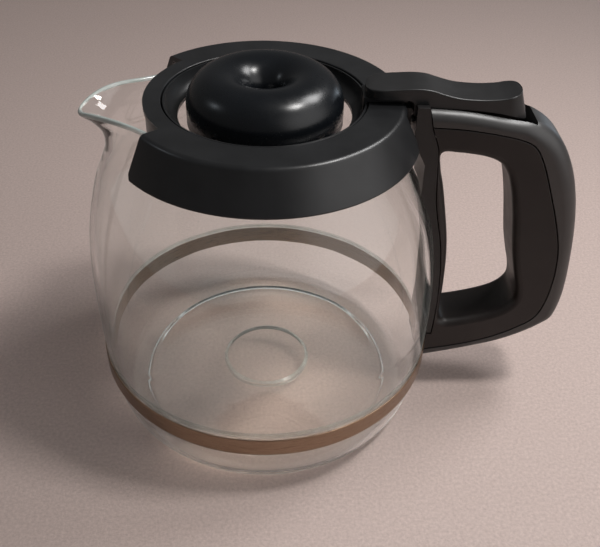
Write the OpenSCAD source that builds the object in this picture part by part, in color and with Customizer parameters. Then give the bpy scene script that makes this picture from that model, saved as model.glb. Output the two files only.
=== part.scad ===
// Coffee server: a blown glass jug with a plastic collar, a banded handle and a hinged lid.
// Millimetres. The origin is the centre of the jug's foot, on the table.
// The pouring lip points along -X, the handle along +X, and +Z is up.

/* [Glass jug] */
// Largest outer radius of the jug
belly_r = 82.6; // [80:0.2:85]
// Height of the largest radius above the table
belly_z = 58; // [54:1:62]
// Outer radius of the flat ring that the jug stands on
foot_r = 70; // [68:0.5:72]
// Outer radius of the neck at the rim
neck_r = 54; // [53:0.1:55]
// Height of the rim above the table
rim_z = 159.2; // [156:0.2:162]
// Thickness of the glass wall
glass_wall = 2.6; // [2:0.1:3]
// Reach of the pouring lip from the axis
lip_reach = 80.4; // [77:0.2:84]
// Depth of the lip's tip below the rim
lip_drop = 5.5; // [4:0.1:7]
// Lift of the rim beside the lip
lip_lift = 1.5; // [0.5:0.1:2.5]
// Half-angle, in degrees, over which the lip fades into the neck
lip_spread = 19; // [16:0.5:22]
// Height of the raised floor inside the jug
floor_z = 6; // [5.5:0.1:7]
// Thickness of the floor
floor_wall = 3; // [2.4:0.1:3.4]
// Radius of the step round the raised floor
floor_r = 62.5; // [60:0.5:64]
// Radius of the shallow dimple in the middle of the floor
dimple_r = 21.5; // [18:0.5:26]

/* [Collar] */
// Outer radius of the collar's flat top
collar_r = 59; // [58:0.2:60]
// Radius of the round opening in the collar
mouth_r = 44.1; // [43.5:0.1:44.5]
// Thickness of the collar's top
collar_top_t = 2.2; // [2:0.1:2.6]
// Outer radius at the bottom of the skirt
skirt_r = 67.5; // [66:0.5:68.5]
// Height of the collar, from its top to the bottom of the skirt
skirt_h = 17.8; // [16:0.2:18.4]
// Thickness of the skirt
skirt_t = 2.4; // [2:0.1:2.8]
// Depth of the sleeve that reaches into the neck
sleeve_h = 15; // [13.5:0.5:16]
// Thickness of the sleeve
sleeve_t = 2.4; // [2:0.1:3]
// Thickness of the soft gasket on the rim of the glass
gasket_t = 1.1; // [0.8:0.1:1.4]
// Half-angle, in degrees, of the gap that the collar leaves at the lip
lip_gap = 37; // [34:1:40]
// Half-width of the gap in the skirt at the handle
skirt_gap = 14; // [13.6:0.2:15]

/* [Band] */
// Height of the band's lower edge
band_z = 26.7; // [25.5:0.1:28]
// Width of the band
band_w = 9.7; // [8:0.1:10.5]
// Thickness of the band
band_t = 0.6; // [0.4:0.1:0.8]

/* [Handle] */
// Reach of the handle beyond the belly
handle_reach = 66; // [62:0.5:72]
// Half-width of the handle
handle_half = 13; // [12.8:0.1:14]
// Rounding of the handle's edges
handle_edge = 4; // [2:0.2:5]
// Height of the handle's lowest line at the jug
handle_low_z = 22; // [20:0.5:24]
// Wall of the hollow back of the handle
handle_wall = 2.6; // [2.2:0.1:3.2]
// Width of the line between the two handle shells
seam_gap = 0.4; // [0.2:0.1:0.6]
// Half-width of the strip that lies against the glass
mount_half = 12.4; // [12:0.1:12.6]
// Thickness of the strip that lies against the glass
mount_t = 2.1; // [1.8:0.1:2.6]

/* [Lid] */
// Radius of the lid hinge's pin
pin_r = 1.5; // [1.2:0.05:1.8]
// Distance of the hinge from the collar's top edge
hinge_out = 7; // [6.6:0.2:8]
// Depth of the hinge below the collar's top
hinge_drop = 2.5; // [2.2:0.1:3]
// Length of the thumb lever behind the hinge
tail_len = 47; // [44:0.5:50]
// Length of the thumb lever in front of the hinge
nose_len = 23.6; // [22.5:0.2:24.5]
// Height of the lever's top above the hinge
lever_rise = 10; // [9.5:0.1:11]
// Half-width of the thumb lever
lever_half = 8.8; // [8:0.1:9]
// Angle, in degrees, through which the lid lifts
lift_angle = 20; // [12:1:21]
// Radius of the ring line of the rounded dome
dome_ring_r = 19.8; // [19.4:0.1:20.4]
// Radius of the dome's rounded section
dome_tube_r = 13.9; // [13.4:0.1:14.2]
// Thickness of the lid's walls
lid_wall = 2; // [1.6:0.1:2.2]

/* [Hidden] */
$fn = 96;

// How far a cut runs past the face it opens
overrun = 5;
// Room between plastic and glass
glass_gap = 0.3;
// Room beside and under the moving lid
lid_gap = 0.5;
// Room between the lid's foot and its ledge
seat_gap = 0.3;
// Radial running room of the hinge pin in the lever
run_gap = 0.05;
// Radial room of a pin or screw in a hole that holds it
hold_gap = 0.02;
// Radial room of a screw in a hole that it only passes
pass_gap = 0.15;
half_turn = 180;

// Point at share t of the way from a to b
function mix(a, b, t) = a + (b - a) * t;

// Smooth value between b and c of the four points a, b, c and d
function bend(a, b, c, d, t) = b + t * (c - a) / 2
    + t * t * (2 * a - 5 * b + 4 * c - d) / 2
    + t * t * t * (3 * b - a - 3 * c + d) / 2;

// Smooth open curve through points
function curve(p, n) = concat([for (i = [0 : len(p) - 2], k = [0 : n - 1])
    bend(p[max(i - 1, 0)], p[i], p[i + 1], p[min(i + 2, len(p) - 1)], k / n)], [p[len(p) - 1]]);

// Smooth closed curve through points
function round_curve(p, n) = [for (i = [0 : len(p) - 1], k = [0 : n - 1])
    bend(p[(i + len(p) - 1) % len(p)], p[i], p[(i + 1) % len(p)], p[(i + 2) % len(p)], k / n)];

// Closed outline moved inwards by d, for a clockwise list seen from the front
function inset(p, d) = [for (i = [0 : len(p) - 1])
    let (a = p[(i + len(p) - 1) % len(p)], b = p[(i + 1) % len(p)], t = (b - a) / norm(b - a))
    p[i] + d * [t[1], -t[0]]];

// Open line moved to its right by d
function beside(p, d) = [for (i = [0 : len(p) - 1])
    let (t = p[min(i + 1, len(p) - 1)] - p[max(i - 1, 0)], u = t / norm(t))
    p[i] + d * [u[1], -u[0]]];

function turned_list(p) = [for (i = [len(p) - 1 : -1 : 0]) p[i]];

// Below zero where the way from a over b to c turns right
function turn(a, b, c) = (b[0] - a[0]) * (c[1] - a[1]) - (b[1] - a[1]) * (c[0] - a[0]);

// Is q in the triangle a, b, c, which runs clockwise
function within(q, a, b, c) = turn(a, b, q) <= 0 && turn(b, c, q) <= 0 && turn(c, a, q) <= 0;

// First corner, from i on, that can be cut off the outline p along the rest of its points
function free_corner(p, ids, i) =
    let (n = len(ids), a = ids[(i + n - 1) % n], b = ids[i], c = ids[(i + 1) % n])
    i == n - 1 || (turn(p[a], p[b], p[c]) < 0 && len([for (k = ids)
        if (k != a && k != b && k != c && within(p[k], p[a], p[b], p[c])) k]) == 0)
    ? i : free_corner(p, ids, i + 1);

// Triangles that fill a clockwise outline: every other corner is cut off in turn
function fill_outline(p, ids) = len(ids) == 3 ? [ids]
    : let (n = len(ids), i = free_corner(p, ids, 0))
    concat([[ids[(i + n - 1) % n], ids[i], ids[(i + 1) % n]]],
        fill_outline(p, [for (k = [2 : n]) ids[(i + (k == n ? 1 : k)) % n]]));

// Glass: heights and shares
rim_round = glass_wall / 2;
rim_end_z = rim_z - rim_round;
lip_out = lip_reach - neck_r;
dimple_depth = 0.6;
floor_slope = 2.5;
// Hollow ring between the floor's step and the wall, and the curve that leads into the wall
groove_rise = 0.3;
wall_start = 1;
curve_out = 2;
curve_in = 1.5;
joint_step = 0.2;
joint_deep = 0.5;
// Outer line of the lower glass: share of the way out from foot to belly, share of the belly's height
low_shares = [[0, 0], [0.27, 0.021], [0.42, 0.06], [0.6, 0.138], [0.76, 0.276], [0.865, 0.43],
    [0.937, 0.586], [0.985, 0.78], [1, 1]];
// Upper glass: share of the belly, share of the height, the lip's reach, drop and spread
high_shares = [
    [1, 0, 0, 0, 2.4],
    [0.983, 0.12, 0.034, 0, 2.4],
    [0.948, 0.24, 0.072, 0, 2.3],
    [0.888, 0.36, 0.114, 0, 2.2],
    [0.797, 0.47, 0.159, 0, 2],
    [0.664, 0.57, 0.22, 0, 1.85],
    [0.49, 0.67, 0.303, 0, 1.7],
    [0.308, 0.76, 0.36, 0.05, 1.5],
    [0.161, 0.84, 0.428, 0.18, 1.35],
    [0.056, 0.914, 0.568, 0.36, 1.2],
    [0.007, 0.963, 0.773, 0.53, 1.07],
    [0, 1, 0.955, 0.82, 1]];
// Smooth steps between two rows, segments round the jug, and how much they crowd at the lip
row_steps = 2;
jug_sides = 60;
crowd = 25;
rim_steps = 3;

// Lower outer line of the glass, from the foot up to the belly
low_line = [for (s = curve(low_shares, row_steps)) [mix(foot_r, belly_r, s[0]), s[1] * belly_z]];
high_rows = curve(high_shares, row_steps);

// Point of the upper glass on row s at an angle of a degrees from the lip
function jug_point(s, a) =
    let (f = exp(-pow(a / (s[4] * lip_spread), 2)), g = pow(f, 4))
    [mix(neck_r, belly_r, s[0]) + lip_out * s[2] * f,
     mix(belly_z, rim_end_z, s[1]) - lip_drop * s[3] * g + lip_lift * (f - g) * pow(s[1], 8)];

// Round outer line of the glass away from the lip
round_line = concat(low_line, [for (i = [1 : len(high_rows) - 1]) jug_point(high_rows[i], half_turn)]);

// Outer radius of the glass at height z, away from the lip
function glass_r(z) = lookup(z, [for (p = round_line) [p[1], p[0]]]);

// Collar: derived heights and radii
collar_z = rim_z + gasket_t + collar_top_t;
plate_z = collar_z - collar_top_t;
skirt_z = collar_z - skirt_h;
crease = 2;
// The crease from the top to the skirt, in shares of its size
crease_shares = [[-1, 0], [-0.35, -0.12], [0.15, -0.45]];
sleeve_gap = 0.4;
sleeve_r = neck_r - glass_wall - sleeve_gap;
ring_out = 0.6;
ring_r = sleeve_r + ring_out;
gasket_in_r = sleeve_r + sleeve_gap / 2;
gasket_out_r = neck_r + ring_out;
gasket_gap = 45;
ledge_t = 1.6;
ledge_in = 4.6;

// Lid: derived heights and radii
lid_r = mouth_r - lid_gap;
lid_top_z = collar_z - lid_gap;
lid_h = 8.8;
lid_foot_z = lid_top_z - lid_h;
ledge_z = lid_foot_z - seat_gap;
bowl_in = 6.1;
bowl_lip = 1.8;
bowl_r = lid_r - bowl_in;
bowl_foot_z = lid_foot_z + bowl_lip;
dome_r = dome_ring_r + dome_tube_r;
drip_r = dome_ring_r - dome_tube_r;
dome_drop = 2.5;
dome_z = lid_top_z - dome_drop;
dome_steps = 36;
lid_rim = 0.7;
lid_foot_in = 1.6;
// Heights on the lid's outer wall, as shares from its foot to its top
foot_share = 0.25;
side_share = 0.6;
hoop_t = 1.6;
hoop_w = 6;
hoop_drop = 0.4;
hoop_z = lid_foot_z - hoop_drop;
dome_foot_z = hoop_z + hoop_t;
base_t = 1.9;
base_z = hoop_z - base_t;
drip_h = 3;
spoke_w = 5;
spoke_angles = [60, 120, 240, 300];
boss_r = 3.2;
boss_h = 8;
boss_in = 6.9;
boss_ring_r = dome_r - boss_in;
boss_angles = [45, 135, 225, 315];
lid_screw_r = 1.25;
lid_head_r = 2.4;
lid_head_h = 1.5;
lid_screw_l = 8;

// Hinge
hinge_x = collar_r + hinge_out;
hinge_z = collar_z - hinge_drop;
hinge_boss_r = 3.4;
cheek_gap = 0.5;
cheek_y = lever_half + cheek_gap;

// Lever: shares of the nose or tail along X and of the rise along Z, counted from the hinge
lever_share = [[-0.93, 0.48], [-1, 0.68], [-0.92, 0.86], [-0.72, 0.93], [-0.4, 0.99], [-0.12, 1.02],
    [0.06, 0.97], [0.14, 0.86], [0.23, 0.73], [0.33, 0.62], [0.46, 0.56], [0.6, 0.55], [0.73, 0.6],
    [0.82, 0.69], [0.88, 0.76], [0.915, 0.62], [0.95, 0.22], [0.99, -0.15], [1, -0.5],
    [0.86, -0.28], [0.71, -0.1], [0.52, 0.02], [0.34, 0.1], [0.16, 0.13], [0, 0.14], [-0.1, 0.2],
    [-0.22, 0.38], [-0.5, 0.4], [-0.75, 0.41]];
lever_points = [for (s = lever_share)
    [hinge_x + s[0] * (s[0] < 0 ? nose_len : tail_len), hinge_z + s[1] * lever_rise]];
lever_line = round_curve(lever_points, 2);

lever_edge = 1;
lever_end_r = 4.5;
plan_room = 0.3;
lug_half = 6;
lug_rise = 0.4;
lug_z = collar_z + lug_rise;
lug_share = 0.48;
lug_top_z = hinge_z + lug_share * lever_rise;
lug_in = 2.1;
lug_wall = 0.5;
lug_short = 6;
lug_out_x = hinge_x - lug_short;
lever_screw_r = 1.1;
lever_head_r = 2.2;
lever_head_h = 1;
lever_screw_top = 3;
lever_screw_far = 17.5;
lever_screw_near = 9.5;
lever_screw_xs = [hinge_x - lever_screw_far, hinge_x - lever_screw_near];

// Band and its clamp
band_gap = 0.15;
band_in_r = glass_r(band_z + band_w) + band_gap;
band_r = band_in_r + band_t;
ear_y = 2.6;
ear_len = 12;
ear_inset = 1.7;
ear_lift = 0.5;
ear_room = 1;
ear_low_z = band_z + ear_inset + ear_lift;
ear_top_z = band_z + band_w - ear_inset + ear_lift;
clamp_out = 6.8;
clamp_x = band_r + clamp_out;
// How deep the band's screw, its nut and its head lie in the handle's sides
clamp_tip_in = 3.6;
clamp_nut_in = 3.8;
clamp_head_in = 6;
clamp_z = (ear_low_z + ear_top_z) / 2;

// Metric four screw and nut
m4_r = 2;
m4_head_r = 3.5;
m4_head_h = 2.6;
m4_nut_r = 4.04;
m4_nut_h = 3.2;
nut_gap = 0.15;

// Self-tapping screw of the handle
tap_r = 1.5;
tap_head_r = 2.8;
tap_head_h = 1.3;

// Collar screw, from the strip into the lug under the collar
lug_over = 4;
lug_gap = 1.2;
lug_back = 2.4;
lug_x = glass_r(rim_z - sleeve_h + lug_over) + lug_gap;
lug_face_x = hinge_x - lug_back;
collar_lug_half = 7;
collar_lug_h = 13.5;
collar_screw_drop = 10.6;
collar_head_out = 4.4;
collar_tip_in = 0.5;
collar_nut_in = 1.4;
collar_screw_z = collar_z - collar_screw_drop;
collar_head_x = lug_face_x + collar_head_out;
collar_tip_x = lug_x + collar_tip_in;
collar_nut_x = lug_x + collar_nut_in;

// Strip against the glass
strip_gap = 0.8;
strip_over = 1;
strip_lead = 10;
leave_share = 0.4644;
strip_z = band_z + band_w + strip_gap;
strip_leave_z = mix(belly_z, rim_z, leave_share);
lead_z = strip_leave_z - strip_lead;
strip_top_z = collar_z + strip_over;
slot_z = hinge_z - hinge_boss_r - cheek_gap;
// Outer line of the strip above the belly: share of the height up to its top, and share of the way
// from its place against the glass to its place behind the hinge
strip_back = 10.9;
strip_shares = [[0.2, 0.98, 0.07], [0.45, 0.88, 0.85], [0.66, 0.789, 1], [0.84, 0.45, 1], [1, 0.266, 1]];
// How far the strip's outline reaches into the jug's room, which is cut off it
strip_in = 9.18;
function strip_in_x(z) = glass_r(z) - strip_in;
strip_foot_out = 3.7;
strip_foot_x = hinge_x + strip_foot_out;
strip_foot_shares = [0.53, 0.73];
strip_screw_up = 3.3;
strip_screw_z = strip_z + strip_screw_up;
strip_screw_l = 14;
top_screw_y = 7.6;
top_screw_drop = 14;
top_screw_in = 2;
top_screw_z = collar_z - top_screw_drop;
top_screw_x = lug_face_x + top_screw_in;
top_screw_l = 19;

// Handle outlines: shares of the reach beyond the belly, and of the height from low line to top
handle_over = 1.1;
handle_top_z = collar_z + handle_over;
outer_share = [[-0.5, 0.99], [-0.1, 0.991], [0.2, 0.994], [0.36, 1], [0.45, 0.996], [0.52, 0.974],
    [0.6, 0.936], [0.69, 0.884], [0.77, 0.815], [0.845, 0.725], [0.91, 0.63], [0.96, 0.51],
    [0.991, 0.4], [1, 0.31], [0.994, 0.25], [0.975, 0.2], [0.945, 0.168], [0.88, 0.144],
    [0.78, 0.114], [0.66, 0.085], [0.52, 0.0585], [0.36, 0.037], [0.2, 0.0165], [0.05, 0],
    [-0.1, -0.014], [-0.5, -0.03], [-0.6, 0.1], [-0.6, 0.5], [-0.6, 0.9]];
seam_share = [[-0.45, 0.937], [-0.05, 0.931], [0.1, 0.9225], [0.24, 0.91], [0.37, 0.896],
    [0.48, 0.874], [0.56, 0.843], [0.63, 0.79], [0.7, 0.725], [0.76, 0.645], [0.81, 0.56],
    [0.845, 0.48], [0.865, 0.4], [0.866, 0.33], [0.854, 0.265], [0.825, 0.21], [0.78, 0.175],
    [0.7, 0.146], [0.6, 0.117], [0.48, 0.09], [0.34, 0.067], [0.2, 0.05], [0.05, 0.036],
    [-0.1, 0.022], [-0.45, 0], [-0.55, 0.1], [-0.55, 0.5], [-0.55, 0.85]];
gap_share = [[-0.085, 0.85], [0.02, 0.854], [0.12, 0.8475], [0.22, 0.836], [0.285, 0.822],
    [0.325, 0.797], [0.352, 0.76], [0.385, 0.727], [0.435, 0.701], [0.466, 0.67], [0.483, 0.625],
    [0.5, 0.565], [0.523, 0.505], [0.555, 0.44], [0.597, 0.378], [0.625, 0.323], [0.63, 0.275],
    [0.605, 0.244], [0.54, 0.215], [0.44, 0.194], [0.3, 0.174], [0.18, 0.162], [0.11, 0.163],
    [0.077, 0.185], [0.073, 0.25], [0.07, 0.34], [0.06, 0.44], [0.038, 0.53], [0, 0.625],
    [-0.042, 0.72], [-0.078, 0.785]];
outline_steps = 3;
gap_edge = 3;
edge_steps = 3;
cavity_x = belly_r + 0.54 * handle_reach;

// Pocket that the lever's tail sinks into
pocket_gap = 0.9;
pocket_back = 5;

// Screws that hold the outer shell of the handle
cover_screw_out = 10.7;
cover_screw_drop = 3.9;
cover_screw_x = hinge_x + cover_screw_out;
cover_screw_z = hinge_z - cover_screw_drop;
cover_screw_l = 11;
low_screw_x = belly_r + 0.38 * handle_reach;
low_screw_l = 12;
low_screw_skin = 1.6;

// Slab across Y with rounded edges; a negative edge flares it
module slab(outline, half, edge) {
    n = len(outline);
    turns = [for (k = [0 : edge_steps]) 90 * k / edge_steps];
    levels = concat(
        [for (k = [edge_steps : -1 : 0]) [-half + abs(edge) * (1 - sin(turns[k])), 1 - cos(turns[k])]],
        [for (k = [0 : edge_steps]) [half - abs(edge) * (1 - sin(turns[k])), 1 - cos(turns[k])]]);
    rings = [for (v = levels) inset(outline, edge * v[1])];
    points = [for (k = [0 : len(levels) - 1], p = rings[k]) [p[0], levels[k][0], p[1]]];
    sides = [for (k = [0 : len(levels) - 2], i = [0 : n - 1])
        let (a = k * n + i, b = k * n + (i + 1) % n) each [[a, b + n, b], [a, a + n, b + n]]];
    front = fill_outline(rings[0], [for (i = [0 : n - 1]) i]);
    back = [for (f = front) [for (i = turned_list(f)) (len(levels) - 1) * n + i]];
    polyhedron(points = points, faces = concat(sides, front, back), convexity = 6);
}

// Plain slab across Y
module plate(outline, half) {
    translate([0, half, 0])
        rotate([90, 0, 0])
            linear_extrude(2 * half)
                polygon(outline);
}

// Cylinder along X, from x over a length
module along_x(x, y, z, r, length) {
    translate([x, y, z])
        rotate([0, 90, 0])
            cylinder(r = r, h = length);
}

// Cylinder along Y, from y over a length
module along_y(x, y, z, r, length) {
    translate([x, y, z])
        rotate([-90, 0, 0])
            cylinder(r = r, h = length);
}

// Block between two corners
module block(low, high) {
    translate(low)
        cube(high - low);
}

// Solid that fills the round glass, grown by a gap
module glass_room(gap) {
    rotate_extrude()
        polygon(concat([[0, -overrun], [foot_r + gap, -overrun]], beside(round_line, gap),
            [[neck_r + gap, rim_z + gap], [0, rim_z + gap]]));
}

// Glass jug

module jug_low() {
    // The wall's inner line starts where it is well above the floor
    inner = [for (p = beside(low_line, -glass_wall)) if (p[1] > floor_z + wall_start) p];
    under_z = floor_z - floor_wall;
    groove_z = floor_wall + groove_rise;
    rotate_extrude()
        polygon(concat(low_line, turned_list(inner), [
            [foot_r + curve_out, groove_z + wall_start],
            [foot_r - curve_in, groove_z],
            [floor_r + floor_slope / 2, groove_z],
            [floor_r - floor_slope / 2, floor_z],
            [dimple_r + dimple_depth, floor_z],
            [dimple_r - dimple_depth, floor_z - dimple_depth],
            [0, floor_z - dimple_depth],
            [0, under_z - dimple_depth],
            [dimple_r - dimple_depth, under_z - dimple_depth],
            [dimple_r + dimple_depth, under_z],
            [floor_r - floor_slope / 2, under_z],
            [floor_r + floor_slope / 2, 0]]));
}

// Rings of the upper glass at one angle: up the outside, over the rim and down the inside
function jug_section(a) =
    let (
        outer = [for (s = high_rows) jug_point(s, a)],
        last = len(outer) - 1,
        inner = beside(outer, -glass_wall),
        middle = (outer[last] + inner[last]) / 2,
        across = (outer[last] - inner[last]) / glass_wall,
        ahead = [-across[1], across[0]],
        rim = [for (k = [1 : rim_steps]) let (t = half_turn * k / (rim_steps + 1))
            middle + rim_round * (cos(t) * across + sin(t) * ahead)],
        tongue = [-joint_step, -joint_deep])
    concat(
        [outer[0] + tongue],
        [outer[0] + [0, joint_deep]],
        [for (i = [1 : last]) outer[i]],
        rim,
        [for (i = [last : -1 : 1]) inner[i]],
        [inner[0] + [0, joint_deep]],
        [inner[0] + [2 * joint_step, -joint_deep]]);

module jug_high() {
    angles = [for (i = [0 : jug_sides - 1]) let (u = 2 * half_turn * i / jug_sides)
        u + crowd * sin(u)];
    sections = [for (a = angles) jug_section(abs(a - half_turn))];
    m = len(sections[0]);
    points = [for (i = [0 : jug_sides - 1], p = sections[i])
        [p[0] * cos(angles[i]), p[0] * sin(angles[i]), p[1]]];
    faces = [for (i = [0 : jug_sides - 1], j = [0 : m - 1])
        let (k = (i + 1) % jug_sides, a = i * m + j, d = i * m + (j + 1) % m,
            b = k * m + j, c = k * m + (j + 1) % m) each [[a, d, c], [a, c, b]]];
    polyhedron(points = points, faces = faces, convexity = 8);
}

module glass_jug() {
    color([0.86, 0.9, 0.88, 0.35]) {
        jug_low();
        jug_high();
    }
}

// Collar

module collar_section() {
    slope = (skirt_r - collar_r) / skirt_h;
    polygon([
        [mouth_r, collar_z],
        for (v = crease_shares) [collar_r + crease * v[0], collar_z + crease * v[1]],
        [collar_r + slope * 2 * crease, collar_z - 2 * crease],
        [skirt_r, skirt_z],
        [skirt_r - skirt_t, skirt_z],
        [collar_r - skirt_t + slope * collar_top_t, plate_z],
        [sleeve_r, plate_z],
        [sleeve_r, collar_z - sleeve_h],
        [sleeve_r - sleeve_t, collar_z - sleeve_h],
        [sleeve_r - sleeve_t, ledge_z - ledge_t],
        [mouth_r - ledge_in, ledge_z - ledge_t],
        [mouth_r - ledge_in, ledge_z],
        [sleeve_r - sleeve_t, ledge_z],
        [sleeve_r - sleeve_t, plate_z],
        [mouth_r, plate_z]]);
}

module collar() {
    color([0.13, 0.13, 0.13])
        difference() {
            union() {
                rotate_extrude()
                    collar_section();
                block([lug_x, -collar_lug_half, plate_z - collar_lug_h],
                    [lug_face_x, collar_lug_half, slot_z]);
                block([lug_x, -collar_lug_half, plate_z - collar_lug_h],
                    [hinge_x - hinge_boss_r - cheek_gap, collar_lug_half,
                    plate_z + collar_top_t / 2]);
            }
            // The plate and the skirt are open at the lip, round the ring of the mouth
            difference() {
                reach = (skirt_r + overrun) / cos(lip_gap);
                translate([0, 0, skirt_z - overrun])
                    linear_extrude(skirt_h + 2 * overrun)
                        polygon([[0, 0],
                            [-reach * cos(lip_gap), reach * sin(lip_gap)],
                            [-reach * cos(lip_gap), -reach * sin(lip_gap)]]);
                translate([0, 0, skirt_z - 2 * overrun])
                    cylinder(r = ring_r, h = skirt_h + 4 * overrun);
            }
            // The skirt is open at the handle, beside the lug
            for (side = [-1, 1])
                block([collar_r - 2 * skirt_t, side * (skirt_gap + collar_lug_half) / 2
                    - (skirt_gap - collar_lug_half) / 2, skirt_z - overrun],
                    [skirt_r + overrun, side * (skirt_gap + collar_lug_half) / 2
                    + (skirt_gap - collar_lug_half) / 2, plate_z]);
            block([lug_face_x, -skirt_gap, skirt_z - overrun],
                [skirt_r + overrun, skirt_gap, plate_z]);
            block([collar_r - 2 * skirt_t, -skirt_gap, skirt_z - overrun],
                [skirt_r + overrun, skirt_gap, plate_z - collar_lug_h]);
            along_x(lug_x - overrun, 0, collar_screw_z, m4_r + pass_gap,
                lug_face_x - lug_x + 2 * overrun);
            block([collar_nut_x - nut_gap, -m4_nut_r - nut_gap, plate_z - collar_lug_h - overrun],
                [collar_nut_x + m4_nut_h + nut_gap, m4_nut_r + nut_gap,
                collar_screw_z + m4_nut_r + nut_gap]);
        }
}

module collar_gasket() {
    color([0.2, 0.2, 0.2])
        rotate([0, 0, gasket_gap - half_turn])
            rotate_extrude(angle = 2 * (half_turn - gasket_gap))
                polygon([
                    [gasket_in_r, rim_z],
                    [gasket_out_r, rim_z],
                    [gasket_out_r, plate_z],
                    [gasket_in_r, plate_z]]);
}

// Steel band

module steel_band() {
    color([0.55, 0.47, 0.4])
        difference() {
            union() {
                difference() {
                    translate([0, 0, band_z])
                        cylinder(r = band_r, h = band_w);
                    translate([0, 0, band_z - overrun])
                        cylinder(r = band_in_r, h = band_w + 2 * overrun);
                    block([0, -ear_y, band_z - overrun],
                        [band_r + overrun, ear_y, band_z + band_w + overrun]);
                }
                for (side = [0, 1])
                    mirror([0, side, 0])
                        block([band_in_r, ear_y, ear_low_z],
                            [band_r + ear_len, ear_y + band_t, ear_top_z]);
            }
            along_y(clamp_x, -ear_y - overrun, clamp_z, m4_r + pass_gap, 2 * (ear_y + overrun));
        }
}

module band_screw() {
    color([0.7, 0.7, 0.7]) {
        along_y(clamp_x, clamp_tip_in - handle_half, clamp_z, m4_r,
            2 * handle_half - clamp_tip_in - clamp_head_in);
        along_y(clamp_x, handle_half - clamp_head_in, clamp_z, m4_head_r, m4_head_h);
    }
}

module band_nut() {
    color([0.7, 0.7, 0.7])
        difference() {
            translate([clamp_x, clamp_nut_in - handle_half, clamp_z])
                rotate([-90, 0, 0])
                    cylinder(r = m4_nut_r, h = m4_nut_h, $fn = 6);
            along_y(clamp_x, -handle_half - overrun, clamp_z, m4_r + hold_gap, 2 * handle_half);
        }
}

// Handle outlines

function handle_point(s) = [belly_r + s[0] * handle_reach,
    mix(handle_low_z, handle_top_z, s[1])];
outer_line = round_curve([for (s = outer_share) handle_point(s)], outline_steps);
seam_line = round_curve([for (s = seam_share) handle_point(s)], outline_steps);
gap_line = round_curve([for (s = gap_share) handle_point(s)], outline_steps);

// Height of the seam over the lower screw, less the skin that its head rests on
low_seam_z = lookup(low_screw_x, [for (p = seam_line) if (p[1] < mix(handle_low_z, handle_top_z, 0.2)
    && p[0] > belly_r) [p[0], p[1]]]);
low_head_z = low_seam_z - low_screw_skin;

// Outer line of the strip, from its top down to the band
strip_rise = strip_top_z - strip_leave_z;
strip_high = [for (s = turned_list(strip_shares)) let (z = strip_leave_z + s[0] * strip_rise)
    [mix(glass_r(z) + glass_gap + mount_t, hinge_x + s[1] * strip_back, s[2]), z]];
strip_low = [for (p = turned_list(beside(round_line, glass_gap + mount_t)))
    if (p[1] < strip_leave_z && p[1] > strip_z) p];
strip_end = [glass_r(strip_z) + glass_gap + mount_t, strip_z];

// Outline of the strip seen from the side, its outer line moved out by a gap
function strip_outline(gap) = concat(
    [[lug_face_x, strip_top_z + gap]],
    [for (p = strip_high) p + [gap, p[1] == strip_top_z ? gap : 0]],
    [for (p = strip_low) p + [gap, 0]],
    [strip_end + [gap, -gap]],
    [[strip_in_x(strip_z), strip_z - gap], [strip_in_x(lead_z), lead_z]],
    [for (i = [0, 1]) [[strip_foot_x, lug_face_x][i],
        strip_leave_z + strip_foot_shares[i] * strip_rise]]);

module handle_mount() {
    color([0.08, 0.08, 0.08])
        difference() {
            plate(strip_outline(0), mount_half);
            glass_room(glass_gap);
            // Slot between the cheeks of the hinge
            block([lug_face_x - overrun, -cheek_y, slot_z],
                [lug_face_x + 3 * overrun, cheek_y, strip_top_z + overrun]);
            along_y(hinge_x, -mount_half - overrun, hinge_z, pin_r + hold_gap,
                2 * (mount_half + overrun));
            along_x(lug_face_x - overrun, 0, collar_screw_z, m4_r + pass_gap, 4 * overrun);
            along_x(collar_head_x, 0, collar_screw_z, m4_head_r + pass_gap, 2 * overrun);
            for (side = [-1, 1]) {
                along_x(lug_face_x - overrun, side * top_screw_y, top_screw_z,
                    tap_head_r + pass_gap, top_screw_x + tap_head_h - lug_face_x + overrun);
                along_x(lug_face_x, side * top_screw_y, top_screw_z, tap_r + pass_gap, 3 * overrun);
            }
            along_x(strip_in_x(strip_screw_z), 0, strip_screw_z, tap_head_r + pass_gap,
                strip_in + glass_gap + tap_head_h);
            along_x(strip_in_x(strip_screw_z), 0, strip_screw_z, tap_r + pass_gap, 5 * overrun);
        }
}

module hinge_pin() {
    color([0.7, 0.7, 0.7])
        along_y(hinge_x, -mount_half, hinge_z, pin_r, 2 * mount_half);
}

module collar_screw() {
    color([0.7, 0.7, 0.7]) {
        along_x(collar_tip_x, 0, collar_screw_z, m4_r, collar_head_x - collar_tip_x);
        along_x(collar_head_x, 0, collar_screw_z, m4_head_r, m4_head_h);
    }
}

module collar_nut() {
    color([0.7, 0.7, 0.7])
        difference() {
            translate([collar_nut_x, 0, collar_screw_z])
                rotate([0, 90, 0])
                    cylinder(r = m4_nut_r, h = m4_nut_h, $fn = 6);
            along_x(lug_x - overrun, 0, collar_screw_z, m4_r + hold_gap, 4 * overrun);
        }
}

module mount_screws() {
    color([0.7, 0.7, 0.7]) {
        for (side = [-1, 1])
            translate([top_screw_x, side * top_screw_y, top_screw_z])
                tap_screw(top_screw_l);
        translate([glass_r(strip_screw_z) + glass_gap, 0, strip_screw_z])
            tap_screw(strip_screw_l);
    }
}

// Self-tapping screw along +X, its head first
module tap_screw(length) {
    rotate([0, 90, 0]) {
        cylinder(r = tap_head_r, h = tap_head_h);
        cylinder(r = tap_r, h = length);
    }
}

// Handle shells

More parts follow.
